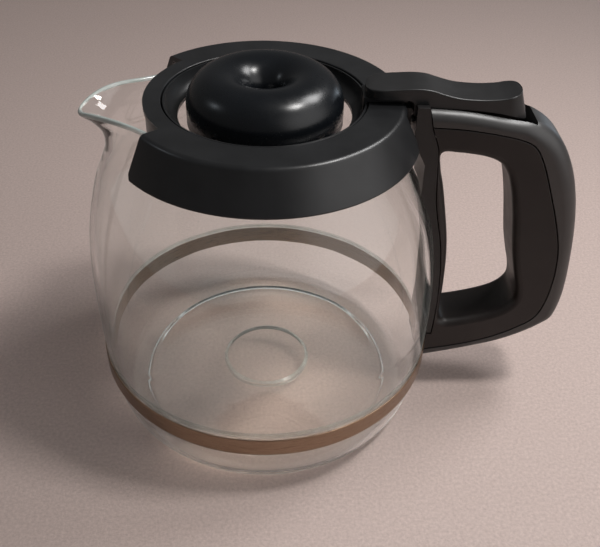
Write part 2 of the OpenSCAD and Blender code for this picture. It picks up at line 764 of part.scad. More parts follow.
// Lower line of the lever's tail, turned down to its limit, with room below it
tail_line = [for (i = [19 : 24]) let (p = lever_points[i] - [hinge_x, hinge_z])
    [hinge_x + p[0] * cos(lift_angle) + p[1] * sin(lift_angle),
     hinge_z - p[0] * sin(lift_angle) + p[1] * cos(lift_angle) - pocket_gap]];
tail_low = let (p = lever_points[18] - [hinge_x, hinge_z])
    [hinge_x + p[0] * cos(lift_angle) + p[1] * sin(lift_angle),
     hinge_z - p[0] * sin(lift_angle) + p[1] * cos(lift_angle) - pocket_gap];
tail_back_x = hinge_x + norm([tail_len, lever_rise / 2]) + pocket_gap;

// Room for the lever, seen from the side
pocket_outline = concat(
    turned_list([tail_low, each tail_line]),
    [[tail_back_x, tail_low[1]], [tail_back_x, hinge_z - lever_rise],
     [tail_back_x + pocket_back, hinge_z], [tail_back_x + pocket_back, handle_top_z + 2 * overrun],
     [hinge_x - overrun, handle_top_z + 2 * overrun], [hinge_x - overrun, slot_z]]);

module handle_room() {
    glass_room(glass_gap);
    translate([0, 0, -overrun])
        cylinder(r = band_r + glass_gap, h = strip_z + overrun);
    plate(concat([[0, strip_top_z + overrun], [strip_high[0][0] + seam_gap,
        strip_top_z + overrun]], [for (p = strip_high) p + [seam_gap, 0]],
        [for (p = strip_low) p + [seam_gap, 0]], [strip_end + [seam_gap, -seam_gap]],
        [[0, strip_z - seam_gap]]), handle_half + overrun);
    plate(pocket_outline, cheek_y);
}

// Hollow in the back of the handle
module handle_cavity() {
    difference() {
        plate(inset(outer_line, handle_wall), handle_half - handle_wall);
        plate(inset(gap_line, -handle_wall), handle_half);
        block([0, -handle_half, 0], [cavity_x, handle_half, handle_top_z + overrun]);
        plate(inset(pocket_outline, -handle_wall), handle_half);
    }
}

module cover_screw_holes(r, head_r) {
    translate([cover_screw_x, 0, cover_screw_z - cover_screw_l])
        cylinder(r = r, h = cover_screw_l);
    translate([cover_screw_x, 0, cover_screw_z - tap_head_h])
        cylinder(r = head_r, h = tap_head_h + overrun);
    translate([low_screw_x, 0, low_head_z])
        cylinder(r = r, h = low_screw_l);
    translate([low_screw_x, 0, low_head_z - 2 * overrun])
        cylinder(r = head_r, h = 2 * overrun);
}

module handle_grip() {
    color([0.09, 0.08, 0.08])
        difference() {
            intersection() {
                slab(outer_line, handle_half, handle_edge);
                plate(seam_line, handle_half + overrun);
            }
            slab(gap_line, handle_half + gap_edge / 2, -gap_edge);
            handle_room();
            handle_cavity();
            cover_screw_holes(tap_r + hold_gap, tap_head_r + pass_gap);
            // Slot for the ears of the band, screw and nut
            block([band_r - overrun, -ear_y - band_t - nut_gap, handle_low_z - overrun],
                [band_r + ear_len + ear_room, ear_y + band_t + nut_gap, ear_top_z + ear_room]);
            along_y(clamp_x, clamp_tip_in - handle_half - nut_gap, clamp_z, m4_r + pass_gap,
                2 * handle_half);
            along_y(clamp_x, handle_half - clamp_head_in, clamp_z, m4_head_r + pass_gap, 3 * overrun);
            block([clamp_x - m4_nut_r - nut_gap, clamp_nut_in - handle_half - nut_gap, 0],
                [clamp_x + m4_nut_r + nut_gap, clamp_nut_in - handle_half + m4_nut_h + nut_gap,
                clamp_z + m4_nut_r]);
            for (side = [-1, 1])
                along_x(top_screw_x, side * top_screw_y, top_screw_z, tap_r + hold_gap,
                    top_screw_l);
            along_x(strip_in_x(strip_screw_z), 0, strip_screw_z, tap_r + hold_gap,
                strip_in + glass_gap + strip_screw_l);
        }
}

module handle_cover() {
    color([0.11, 0.11, 0.11])
        difference() {
            slab(outer_line, handle_half, handle_edge);
            plate(inset(seam_line, -seam_gap), handle_half + overrun);
            handle_room();
            handle_cavity();
            cover_screw_holes(tap_r + pass_gap, tap_head_r + pass_gap);
        }
}

module cover_screws() {
    color([0.7, 0.7, 0.7]) {
        translate([cover_screw_x, 0, cover_screw_z])
            rotate([0, 90, 0])
                tap_screw(cover_screw_l);
        translate([low_screw_x, 0, low_head_z - tap_head_h])
            rotate([0, -90, 0])
                tap_screw(low_screw_l + tap_head_h);
    }
}

// Lid

// The bowl's surface is a curve from the rim down to its inner foot
bowl_shares = [[0, 0], [0.1, 0.3], [0.3, 0.62], [0.62, 0.87], [1, 1]];
bowl_line = [for (s = curve(bowl_shares, outline_steps))
    [mix(lid_r - lid_rim, bowl_r, s[0]), mix(lid_top_z, bowl_foot_z, s[1])]];

module lid_ring() {
    color([0.1, 0.1, 0.1])
        difference() {
            union() {
                rotate_extrude()
                    polygon(concat([[lid_r, lid_top_z]], bowl_line, [
                        [bowl_r, lid_foot_z],
                        [bowl_r + lid_wall, lid_foot_z],
                        [lid_r - lid_foot_in, mix(lid_foot_z, lid_top_z, foot_share)],
                        [lid_r, mix(lid_foot_z, lid_top_z, side_share)]]));
                difference() {
                    translate([0, 0, hoop_z])
                        cylinder(r = dome_r, h = hoop_t);
                    translate([0, 0, hoop_z - overrun])
                        cylinder(r = dome_r - hoop_w, h = 2 * overrun + hoop_t);
                }
                for (angle = spoke_angles)
                    rotate([0, 0, angle])
                        block([dome_r - lid_wall, -spoke_w / 2, hoop_z],
                            [bowl_r + lid_wall / 2, spoke_w / 2, dome_foot_z]);
                for (angle = boss_angles)
                    rotate([0, 0, angle])
                        translate([boss_ring_r, 0, hoop_z])
                            cylinder(r = boss_r, h = hoop_t);
                // Lug that carries the thumb lever over the collar
                block([lid_r - lug_in, -lug_half, mix(lid_foot_z, lid_top_z, side_share)],
                    [lid_r - lug_wall, lug_half, lug_top_z]);
                block([lid_r - lug_in, -lug_half, lug_z], [lug_out_x, lug_half, lug_top_z]);
            }
            for (angle = boss_angles)
                rotate([0, 0, angle])
                    translate([boss_ring_r, 0, hoop_z - overrun])
                        cylinder(r = lid_screw_r + pass_gap, h = hoop_t + 2 * overrun);
            for (x = lever_screw_xs)
                translate([x, 0, 0]) {
                    translate([0, 0, lug_z - overrun])
                        cylinder(r = lever_head_r + pass_gap, h = overrun + lever_head_h);
                    translate([0, 0, lug_z])
                        cylinder(r = lever_screw_r + pass_gap, h = overrun);
                }
        }
}

module lid_base() {
    color([0.1, 0.1, 0.1])
        difference() {
            union() {
                translate([0, 0, base_z])
                    cylinder(r = dome_r, h = base_t);
                translate([0, 0, base_z - drip_h])
                    cylinder(r = drip_r + lid_wall, h = drip_h + base_t);
                translate([0, 0, base_z])
                    cylinder(r = drip_r + 2 * lid_wall + lid_gap, h = dome_foot_z - base_z);
            }
            translate([0, 0, base_z - drip_h - overrun])
                cylinder(r = drip_r, h = drip_h + 4 * overrun);
            translate([0, 0, hoop_z])
                cylinder(r = drip_r + lid_wall + hold_gap, h = overrun);
            for (angle = boss_angles)
                rotate([0, 0, angle])
                    translate([boss_ring_r, 0, base_z - overrun])
                        cylinder(r = lid_screw_r + pass_gap, h = base_t + 2 * overrun);
        }
}

// Half circle over the dome's ring line
function dome_arc(r, n) = [for (k = [0 : n]) let (a = half_turn * k / n)
    [dome_ring_r + r * cos(a), dome_z + r * sin(a)]];

module lid_dome() {
    inner_r = dome_tube_r - lid_wall;
    color([0.05, 0.05, 0.05])
        difference() {
            union() {
                rotate_extrude()
                    polygon(concat(
                        [[dome_r, dome_foot_z]],
                        dome_arc(dome_tube_r, dome_steps),
                        [[drip_r, hoop_z], [drip_r + lid_wall, hoop_z]],
                        turned_list(dome_arc(inner_r, dome_steps)),
                        [[dome_r - lid_wall, dome_foot_z]]));
                for (angle = boss_angles)
                    rotate([0, 0, angle])
                        translate([boss_ring_r, 0, dome_foot_z])
                            cylinder(r = boss_r, h = boss_top_z - dome_foot_z);
            }
            for (angle = boss_angles)
                rotate([0, 0, angle])
                    translate([boss_ring_r, 0, dome_foot_z - overrun])
                        cylinder(r = lid_screw_r + hold_gap, h = overrun + boss_h);
        }
}

// The bosses end inside the dome's wall
boss_top_z = dome_z + sqrt(pow(dome_tube_r - lid_wall / 2, 2)
    - pow(boss_ring_r + boss_r - dome_ring_r, 2));

module lid_screws() {
    color([0.7, 0.7, 0.7])
        for (angle = boss_angles)
            rotate([0, 0, angle])
                translate([boss_ring_r, 0, base_z - lid_head_h]) {
                    cylinder(r = lid_head_r, h = lid_head_h);
                    cylinder(r = lid_screw_r, h = lid_head_h + lid_screw_l);
                }
}

// Plan of the lever with round corners
corner_steps = 6;
function round_corner(x, y, r, from) = [for (k = [0 : corner_steps])
    let (a = from + half_turn * k / (2 * corner_steps))
    [x + r * cos(a), y + r * sin(a)]];
lever_plan = let (w = lever_half + plan_room - lever_end_r, back = hinge_x + tail_len + lever_edge,
        front = hinge_x - nose_len - lever_edge)
    concat(
        round_corner(back - lever_end_r, w, lever_end_r, 0),
        round_corner(front + lever_end_r, w, lever_end_r, half_turn / 2),
        round_corner(front + lever_end_r, -w, lever_end_r, half_turn),
        round_corner(back - lever_end_r, -w, lever_end_r, -half_turn / 2));

module thumb_lever() {
    color([0.1, 0.1, 0.11])
        difference() {
            intersection() {
                union() {
                    slab(lever_line, lever_half, lever_edge);
                    along_y(hinge_x, plan_room - lever_half, hinge_z, hinge_boss_r,
                        2 * (lever_half - plan_room));
                    block([hinge_x - hinge_boss_r, plan_room - lever_half, hinge_z],
                        [hinge_x + hinge_boss_r, lever_half - plan_room,
                        hinge_z + 0.5 * lever_rise]);
                }
                translate([0, 0, hinge_z - 2 * lever_rise])
                    linear_extrude(4 * lever_rise)
                        polygon(lever_plan);
            }
            along_y(hinge_x, -lever_half - overrun, hinge_z, pin_r + run_gap,
                2 * (lever_half + overrun));
            block([hinge_x - nose_len - overrun, -lever_half - overrun, 0],
                [lug_out_x, lever_half + overrun, lug_top_z]);
            for (x = lever_screw_xs)
                translate([x, 0, lug_top_z - overrun])
                    cylinder(r = lever_screw_r + hold_gap, h = overrun + lever_screw_top);
        }
}

module lever_screws() {
    color([0.7, 0.7, 0.7])
        for (x = lever_screw_xs)
            translate([x, 0, lug_z]) {
                cylinder(r = lever_head_r, h = lever_head_h);
                cylinder(r = lever_screw_r, h = lug_top_z - lug_z + lever_screw_top);
            }
}

glass_jug();
collar();
collar_gasket();
steel_band();
handle_mount();
handle_grip();
handle_cover();
hinge_pin();
collar_screw();
collar_nut();
mount_screws();
band_screw();
band_nut();
cover_screws();
lid_ring();
lid_base();
lid_dome();
lid_screws();
thumb_lever();
lever_screws();
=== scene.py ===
"""Looks of the coffee server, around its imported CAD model. Lists are in millimetres, meshes in metres."""

import math

import bmesh
import bpy
from mathutils import Matrix, Vector


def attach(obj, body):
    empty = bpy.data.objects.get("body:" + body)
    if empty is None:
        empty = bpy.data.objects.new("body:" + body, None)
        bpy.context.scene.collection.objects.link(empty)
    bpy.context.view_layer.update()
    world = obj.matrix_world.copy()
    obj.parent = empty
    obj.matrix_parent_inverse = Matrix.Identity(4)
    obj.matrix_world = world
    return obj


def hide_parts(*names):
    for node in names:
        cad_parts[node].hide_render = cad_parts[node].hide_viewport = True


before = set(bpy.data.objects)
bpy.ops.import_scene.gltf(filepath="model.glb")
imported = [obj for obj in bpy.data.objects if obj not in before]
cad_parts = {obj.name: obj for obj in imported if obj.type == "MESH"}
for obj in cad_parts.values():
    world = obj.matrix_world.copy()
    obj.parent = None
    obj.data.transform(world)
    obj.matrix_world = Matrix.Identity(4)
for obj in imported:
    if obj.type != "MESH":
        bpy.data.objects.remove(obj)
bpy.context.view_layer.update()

MM = 0.001

# Sizes in millimetres. The main ones are those of the part's source, and where the photo shows
# more than the solids have, the comment says so

OVERRUN = 5.0  # how far a cut runs past what it cuts
FAR = 99.0  # past the band and its ears
WIDE = 30.0  # past both sides of the handle

# Glass jug
BELLY_R = 82.6  # largest outer radius
BELLY_Z = 58.0  # height of the largest radius
FOOT_R = 70.0  # outer radius at the foot
NECK_R = 54.0  # outer radius at the rim
RIM_Z = 159.2  # height of the rim
GLASS = 2.6  # thickness of the wall
LIP_REACH = 80.4  # reach of the pouring lip from the axis
LIP_DROP = 5.5  # depth of the lip's tip below the rim
LIP_LIFT = 1.5  # lift of the rim beside the lip
LIP_SPREAD = 19.0  # half-angle over which the lip fades, in degrees
LIP_CROWD = 25.0  # how much the sections crowd at the lip, in degrees
FLOOR_Z = 6.0  # height of the floor inside
FLOOR_T = 3.0  # thickness of the floor
FLOOR_R = 62.5  # radius of the step round the floor
STEP_R = FLOOR_R + 1.6  # foot of that step
DIMPLE_R = 21.5  # radius of the dimple in the floor
# How far the photo shows the floor and its underside pushed up, from the axis outwards
FLOOR_CROWN = (5.2, 4.9, 3.7, 1.8)
UNDER_CROWN = (4.6, 4.3, 3.3, 1.2)
# Lower glass: shares of the way from foot to belly, and of the belly's height
LOW_SHARES = [
    [0, 0], [0.27, 0.021], [0.42, 0.06], [0.6, 0.138], [0.76, 0.276], [0.865, 0.43], [0.937, 0.586],
    [0.985, 0.78], [1, 1]]
# Upper glass: shares of belly over neck, of the height, of the lip's reach and drop, and its spread
HIGH_SHARES = [
    [1, 0, 0, 0, 2.4], [0.983, 0.12, 0.034, 0, 2.4], [0.948, 0.24, 0.072, 0, 2.3],
    [0.888, 0.36, 0.114, 0, 2.2], [0.797, 0.47, 0.159, 0, 2], [0.664, 0.57, 0.22, 0, 1.85],
    [0.49, 0.67, 0.303, 0, 1.7], [0.308, 0.76, 0.36, 0.05, 1.5], [0.161, 0.84, 0.428, 0.18, 1.35],
    [0.056, 0.914, 0.568, 0.36, 1.2], [0.007, 0.963, 0.773, 0.53, 1.07], [0, 1, 0.955, 0.82, 1]]

# Where the glass gets painted highlights: pale glass that stands in for the light it gathers
RIM_HIGHLIGHT_FROM_Z = 140.0  # the rim's painted highlight is looked for above this height
RIM_HIGHLIGHT_CAP = 0.25  # how far the painted highlight on the rim runs down from where its rounding starts
CREASE_HIGHLIGHT_TO_Z = 20.0  # the painted highlights on the floor's creases are looked for below this height
DIMPLE_HIGHLIGHT = 0.75  # half-width of the painted highlight on the crease round the dimple
STEP_HIGHLIGHT = 0.6  # half-width of the painted highlight on the crease at the floor's step
HIGHLIGHT_ABOVE_BAND = (0.6, 2.4)  # lower and upper edge of the painted highlight, a pale line above the band

# Collar
COLLAR_Z = 162.5  # height of its top
COLLAR_R = 59.0  # outer radius of the flat top
COLLAR_MORE = 0.7  # how much wider the photo shows the top
COLLAR_T = 2.2  # thickness of the top
MOUTH_R = 44.1  # radius of the opening
SKIRT_R = 67.5  # outer radius at the bottom of the skirt
SKIRT_MORE = 0.6  # how much wider the photo shows the bottom
SKIRT_H = 17.8  # height from top to bottom
SKIRT_T = 2.4  # thickness of the skirt
SKIRT_GAP = 14.0  # half-width of the gap at the handle
SKIRT_GAP_X = 53.2  # where that gap starts
GAP_FLARE = 4.0  # how far the gap's lower corners flare out
SLEEVE_R = 51.0  # outer radius of the sleeve in the neck
SLEEVE_H = 15.0  # depth of the sleeve
SLEEVE_T = 2.4  # thickness of the sleeve
LEDGE_Z = 152.9  # top of the ledge under the lid
LEDGE_T = 1.6  # thickness of the ledge
LEDGE_IN = 4.6  # how far the ledge reaches in from the mouth
LIP_GAP = 37.0  # half-angle of the gap at the lip, in degrees
FRONT_GAP = LIP_GAP - 0.5  # the photo's angle of its front end
BACK_GAP = LIP_GAP + 5  # the photo's angle of its back end
GAP_IN = 8.0  # where the gap's sides start
GAP_OUT = 80.0  # where the gaps in the collar end, past the skirt
GAP_CORNER = 3.0  # rounding of the gap's lower corners
PLATE_Z = COLLAR_Z - COLLAR_T
SKIRT_Z = COLLAR_Z - SKIRT_H
RING_R = SLEEVE_R + 0.6
# Lug for the handle's screw, from a low to a high corner
COLLAR_LUG = (55.2, -7.4, PLATE_Z - 13.5), (62.1, 7.4, PLATE_Z + 0.6)

# Lid
LID_R = 43.6  # outer radius
LID_TOP = 162.0  # height of its top
LID_FOOT = 153.2  # height of its foot
LID_WALL = 2.0  # thickness of the walls
BOWL_R = 37.5  # radius of the bowl's foot
BOWL_FOOT = 155.0  # height of the bowl's foot
BOWL_EDGE = 0.9  # width of the flat edge round the bowl
RING_LINE = 19.8  # radius of the dome's ring line
TUBE_R = 13.9  # radius of the dome's rounded section
DOME_Z = 159.5  # height of the ring line
DOME_R = RING_LINE + TUBE_R
DRIP_R = RING_LINE - TUBE_R
DRIP_H = 3.0  # length of the drip spout
HOOP_Z = 152.8  # foot of the hoop that carries the dome
HOOP_T = 1.6  # thickness of the hoop
HOOP_W = 6.0  # width of the hoop
HOOP_TOP = HOOP_Z + HOOP_T
BASE_Z = 150.9  # foot of the underside plate
BASE_T = 1.9  # thickness of that plate
SEAT_W = 4.5  # width of the plate's round seat for the dome
SPOKE_HALF = 2.5  # half-width of a spoke
SPOKE_ANGLES = (60, 120, 240, 300)
LUG_HALF = 6.0  # half-width of the lid's lug
LUG_IN = 2.1  # how far the lug reaches into the lid

# Hinge and thumb lever
HINGE_X = 66.0
HINGE_Z = 160.0
BOSS_R = 3.4  # radius of the lever's boss round the pin
SLOT_ROOM = 0.5  # room under the boss
LIFT = 20.0  # angle of the lifted lid, in degrees
TAIL = 47.0  # length of the lever behind the hinge
TAIL_ROOM = 0.9  # room round the tail
NOSE = 23.6  # length of the lever in front of the hinge
RISE = 10.0  # height of the lever above the hinge
LUG_TOP = HINGE_Z + 0.48 * RISE
LEVER_HALF = 8.8  # half-width of the lever
LEVER_EDGE = 0.55  # rounding of its upper edges in the photo
LEVER_DISH = 0.35  # how far its top is dished
NOSE_R = 7.5  # rounding of its front end in the plan
TAIL_R = 6.5  # rounding of its back end in the plan
TAPER = 0.35  # how much narrower it gets on each side over the taper's length
TAPER_X = 80.0
TAPER_LEN = 29.0
LEAN_X = 92.0  # where the sides start to lean back
LEVER_BACK = HINGE_X + 0.915 * TAIL
END_STEPS = 14
BODY_STEPS = 44
CHEEK_Y = LEVER_HALF + 0.5
# Lever from the side: shares of the nose or the tail, and of the rise
LEVER_TOP_SHARES = [
    [-1, 0.8], [-0.92, 0.88], [-0.72, 0.94], [-0.4, 0.99], [-0.12, 1.02], [0.06, 0.97],
    [0.14, 0.86], [0.23, 0.73], [0.33, 0.62], [0.46, 0.56], [0.6, 0.55], [0.73, 0.6], [0.82, 0.69],
    [0.88, 0.77], [0.915, 0.79]]
LEVER_LOW_SHARES = [
    [-1, 0.48], [-0.5, 0.48], [-0.2, 0.44], [-0.1, 0.2], [0, 0.14], [0.16, 0.13], [0.34, 0.1],
    [0.52, 0.02], [0.71, -0.1], [0.86, -0.28], [1, -0.5]]

# Band
BAND_Z = 26.7  # height of its lower edge
BAND_W = 9.7  # width
BAND_T = 0.6  # thickness
BAND_TOP = BAND_Z + BAND_W
EAR_Y = 2.6  # half the space between its two ears
EAR_LEN = 12.0  # length of the ears
EAR_IN = 1.7  # how much narrower than the band they are on each side
EAR_UP = 0.5  # how much higher than the band's middle they sit
EAR_ROOM = 0.75  # room beside the ears

# Handle
REACH = 66.0  # reach beyond the belly
HANDLE_HALF = 13.0  # half-width
LOW_Z = 22.0  # height of its lowest line at the jug
HANDLE_TOP = 163.6  # height of the crown in the shares below
SEAM_GAP = 0.4  # width of the line between its two shells
GRIP_EDGE = 4.2  # rounding of the finger gap's edges in the photo
MOUNT_HALF = 12.46  # half-width of the strip against the glass
MOUNT_T = 2.1  # thickness of the strip
GAP = 0.3  # room between plastic and glass
LUG_FACE_X = 63.6  # where the strip's top meets the collar's lug
STRIP_Z = 37.2  # foot of the strip
LEAVE_Z = 105.0  # where the strip leaves the glass
STRIP_TOP = COLLAR_Z + 1
POCKET_TOP = COLLAR_Z + 11.5  # end of the lever's channel, above the crown
SCREW_HEAD_R = 2.95  # room for the heads of the cover's screws
HIGH_SCREW = HINGE_X + 10.7, HINGE_Z - 5.2  # foot of the upper one's room
LOW_SCREW_X = BELLY_R + 0.38 * REACH
LOW_SCREW_ROOM = 10.0, 17.5  # foot and length of the lower one's room
CLAMP_OUT = 6.8  # distance of the clamp's screw from the band
CLAMP_HEAD_R = 3.65  # room for its head
CLAMP_NUT_R = 4.19  # room for its nut
CLAMP_NUT_Y = -9.35, -5.85  # sides of that room
# Handle from the side: shares of its reach and height. The cover's line also has the radius of its
# long edges, and its crown falls to the right as in the photo
OUTER_SHARES = [
    [-0.5, 1, 0.3], [-0.35, 0.995, 4.9], [-0.194, 0.989, 5], [-0.074, 0.985, 5], [0.056, 0.979, 5],
    [0.188, 0.969, 5], [0.321, 0.957, 5], [0.442, 0.949, 5.6], [0.51, 0.942, 6.6],
    [0.562, 0.933, 7.4], [0.624, 0.916, 8], [0.694, 0.8865, 8.2], [0.764, 0.841, 8.3],
    [0.826, 0.785, 8.2], [0.878, 0.72, 7.9], [0.925, 0.635, 7.6], [0.963, 0.53, 7.3],
    [0.991, 0.4, 7], [1, 0.31, 6.6], [0.994, 0.25, 6.2], [0.975, 0.2, 5.6], [0.945, 0.168, 5],
    [0.88, 0.144, 4.2], [0.78, 0.114, 3.6], [0.66, 0.085, 3.1], [0.52, 0.0585, 2.9],
    [0.36, 0.037, 2.8], [0.2, 0.0165, 2.8], [0.05, 0, 2.8], [-0.1, -0.014, 2.8], [-0.5, -0.03, 0.3]]
SEAM_SHARES = [
    [-0.45, 0.94], [-0.05, 0.932], [0.1, 0.925], [0.24, 0.9145], [0.37, 0.902], [0.47, 0.886],
    [0.53, 0.864], [0.58, 0.826], [0.63, 0.775], [0.69, 0.704], [0.75, 0.63], [0.805, 0.553],
    [0.845, 0.48], [0.865, 0.4], [0.866, 0.33], [0.854, 0.265], [0.825, 0.21], [0.78, 0.175],
    [0.7, 0.146], [0.6, 0.117], [0.48, 0.09], [0.34, 0.067], [0.2, 0.05], [0.05, 0.036],
    [-0.1, 0.022], [-0.45, 0]]
GAP_SHARES = [
    [-0.085, 0.842], [0.02, 0.8435], [0.12, 0.838], [0.2, 0.831], [0.275, 0.819], [0.335, 0.799],
    [0.38, 0.768], [0.412, 0.73], [0.438, 0.688], [0.46, 0.643], [0.483, 0.59], [0.507, 0.525],
    [0.535, 0.455], [0.574, 0.385], [0.612, 0.325], [0.625, 0.275], [0.6, 0.244], [0.54, 0.217],
    [0.44, 0.195], [0.3, 0.176], [0.18, 0.164], [0.11, 0.163], [0.077, 0.185], [0.073, 0.25],
    [0.07, 0.34], [0.06, 0.44], [0.038, 0.53], [0, 0.625], [-0.042, 0.72], [-0.078, 0.785]]
# Front of the strip: share of its rise above the glass, and its distance from the hinge's axis
STRIP_LINE = [[0.2, 10.9], [0.45, 9.6], [0.66, 8.6], [0.84, 4.9], [1, 2.9]]


# Lines

def bend(a, b, c, d, t):
    """Smooth value between b and c of four values."""
    return (b + t * (c - a) / 2 + t * t * (2 * a - 5 * b + 4 * c - d) / 2
            + t * t * t * (3 * b - a - 3 * c + d) / 2)


def curve(points, steps, closed=False):
    """Smooth line through points."""
    out, n = [], len(points)
    for i in range(n if closed else n - 1):
        at = [points[k % n] if closed else points[min(max(k, 0), n - 1)]
              for k in (i - 1, i, i + 1, i + 2)]
        for k in range(steps):
            out.append([bend(*v, k / steps) for v in zip(*at)])
    return out if closed else out + [list(points[-1])]


def shifted(points, dist, closed=False):
    """Line moved to its right by dist, a number or one for each point."""
    out, n = [], len(points)
    for i, p in enumerate(points):
        a = points[(i - 1) % n] if closed else points[max(i - 1, 0)]
        b = points[(i + 1) % n] if closed else points[min(i + 1, n - 1)]
        tx, tz = b[0] - a[0], b[1] - a[1]
        size = math.hypot(tx, tz) or 1
        d = dist[i] if isinstance(dist, list) else dist
        out.append([p[0] + d * tz / size, p[1] - d * tx / size])
    return out


def value(line, x):
    """Height of a line of points at x."""
    for a, b in zip(line, line[1:]):
        if min(a[0], b[0]) <= x <= max(a[0], b[0]):
            return a[1] + (b[1] - a[1]) * (x - a[0]) / ((b[0] - a[0]) or 1)
    return line[0][1] if abs(x - line[0][0]) < abs(x - line[-1][0]) else line[-1][1]


def softened(corners, steps=6):
    """Closed outline of (x, z, radius) corners, each rounded to its radius."""
    out, n = [], len(corners)
    for i, (x, z, r) in enumerate(corners):
        p = Vector((x, z))
        a = Vector(corners[i - 1][:2]) - p
        b = Vector(corners[(i + 1) % n][:2]) - p
        angle = a.angle(b) if r and a.length and b.length else 0
        if not r or angle > math.radians(178):
            out.append([x, z])
            continue
        reach = min(r / math.tan(angle / 2), 0.48 * a.length, 0.48 * b.length)
        r = reach * math.tan(angle / 2)
        start, stop = p + a.normalized() * reach, p + b.normalized() * reach
        centre = p + (a.normalized() + b.normalized()).normalized() * (r / math.sin(angle / 2))
        u, v = start - centre, stop - centre
        span = u.angle(v)
        for k in range(steps + 1):
            t = k / steps
            w = (u * math.sin((1 - t) * span) + v * math.sin(t * span)) / math.sin(span)
            out.append(list(centre + w))
    return out


# Solids, each a pair of vertices and faces in millimetres

def turned(line, sides=192):
    """A closed outline of (r, z) turned round the upright axis."""
    verts, faces, n = [], [], len(line)
    for i in range(sides):
        a = 2 * math.pi * i / sides
        verts += [(r * math.cos(a), r * math.sin(a), z) for r, z in line]
    for i in range(sides):
        k = (i + 1) % sides
        for j in range(n):
            m = (j + 1) % n
            if line[j][0] < 1e-6 and line[m][0] < 1e-6:
                continue
            faces.append((i * n + j, i * n + m, k * n + m, k * n + j))
    return verts, faces


def lofted(loops):
    """Closed loops of equal length joined into one solid with an end face on each side."""
    n = len(loops[0])
    verts = [p for loop in loops for p in loop]
    faces = [(k * n + i, k * n + (i + 1) % n, (k + 1) * n + (i + 1) % n, (k + 1) * n + i)
             for k in range(len(loops) - 1) for i in range(n)]
    last = (len(loops) - 1) * n
    return verts, faces + [tuple(range(n - 1, -1, -1)), tuple(range(last, last + n))]


def prism(line, low, high):
    """A closed outline of (x, z) drawn out along Y."""
    return lofted([[(x, y, z) for x, z in line] for y in (low, high)])


def block(low, high, r=0.0, steps=3):
    """A block between two corners, the edges along Y rounded by r."""
    line = softened([(low[0], low[2], r), (low[0], high[2], r), (high[0], high[2], r),
                     (high[0], low[2], r)], steps)
    return prism(line, low[1], high[1])


def rod(x, y, z, r, length, axis, sides=48):
    """A cylinder from a point along the Y or Z axis."""
    line = [[r * math.cos(2 * math.pi * i / sides), r * math.sin(2 * math.pi * i / sides)]
            for i in range(sides)]
    verts, faces = prism(line, 0, length)
    if axis == "z":
        verts = [(a, c, b) for a, b, c in verts]
    return [(x + a, y + b, z + c) for a, b, c in verts], faces


def slab(line, half, edge, steps=7):
    """A closed clockwise outline drawn out along Y with rounded edges; edge is one radius or a list."""
    radii = edge if isinstance(edge, list) else [edge] * len(line)
    # The rounding stops just short of a right angle, so that no two rings are alike
    turns = [math.radians(88 * k / steps) for k in range(steps + 1)]
    loops = []
    for side, order in ((-1, turns[::-1]), (1, turns)):
        for t in order:
            ring = shifted(line, [r * (1 - math.cos(t)) for r in radii], True)
            loops.append([(p[0], side * (half - abs(r) * (1 - math.sin(t))), p[1])
                          for p, r in zip(ring, radii)])
    return lofted(loops)


def spun(solid, angle):
    """A solid turned round the upright axis by degrees."""
    c, s = math.cos(math.radians(angle)), math.sin(math.radians(angle))
    return [(x * c - y * s, x * s + y * c, z) for x, y, z in solid[0]], solid[1]


def mesh_of(name, solids):
    """A mesh object of solids, its faces turned outwards."""
    bm = bmesh.new()
    for verts, faces in solids:
        made = [bm.verts.new((x * MM, y * MM, z * MM)) for x, y, z in verts]
        for f in faces:
            if len(set(f)) > 2:
                bm.faces.new([made[i] for i in f])
    bmesh.ops.remove_doubles(bm, verts=bm.verts, dist=2e-6)
    bmesh.ops.dissolve_degenerate(bm, edges=bm.edges, dist=1e-7)
    bmesh.ops.recalc_face_normals(bm, faces=bm.faces)
    mesh = bpy.data.meshes.new(name)
    bm.to_mesh(mesh)
    bm.free()
    obj = bpy.data.objects.new(name, mesh)
    bpy.context.scene.collection.objects.link(obj)
    return obj


def settled(obj):
    """The object with its modifiers turned into mesh."""
    graph = bpy.context.evaluated_depsgraph_get()
    graph.update()
    mesh = bpy.data.meshes.new_from_object(obj.evaluated_get(graph))
    obj.modifiers.clear()
    old = obj.data
    obj.data = mesh
    mesh.name = obj.name
    bpy.data.meshes.remove(old)
    return obj


def cut(obj, tools, how="DIFFERENCE"):
    """Takes solids or mesh objects off an object, one after the other, or joins them to it."""
    for solid in tools:
        tool = mesh_of("tool", [solid]) if isinstance(solid, tuple) else solid
        mod = obj.modifiers.new("cut", "BOOLEAN")
        mod.operation, mod.solver, mod.object = how, "EXACT", tool
        settled(obj)
        bpy.data.objects.remove(tool)
    return obj


def soften(obj, width, angle=50, segments=3):
    """Rounds the sharp edges of an object."""
    mod = obj.modifiers.new("soften", "BEVEL")
    mod.width, mod.segments, mod.limit_method = width * MM, segments, "ANGLE"
    mod.angle_limit, mod.use_clamp_overlap = math.radians(angle), True
    return settled(obj)


def placed(obj, body, look, nodes, sharp=38, even=True):
    """Shades a piece, gives it its material and body, and hides the solids it stands for."""
    mesh = obj.data
    mesh.shade_smooth()
    mesh.set_sharp_from_angle(angle=math.radians(sharp))
    if even:
        mod = obj.modifiers.new("even", "WEIGHTED_NORMAL")
        mod.keep_sharp, mod.weight = True, 60
        settled(obj)
    obj.data.materials.clear()
    obj.data.materials.append(look)
    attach(obj, body)
    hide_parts(*nodes)
    return obj


# Materials

GLASS_IOR = 1.47
# Depths of the relief, in metres
GRAIN_DEPTH = 0.00004
LINE_DEPTH = 0.00002
WAVE_DEPTH = 0.0003
TABLE_DEPTH = 0.0004


def material(name):
    """A new material, its node tree and its shader."""
    mat = bpy.data.materials.new(name)
    mat.use_nodes = True
    tree = mat.node_tree
    return mat, tree, tree.nodes["Principled BSDF"]


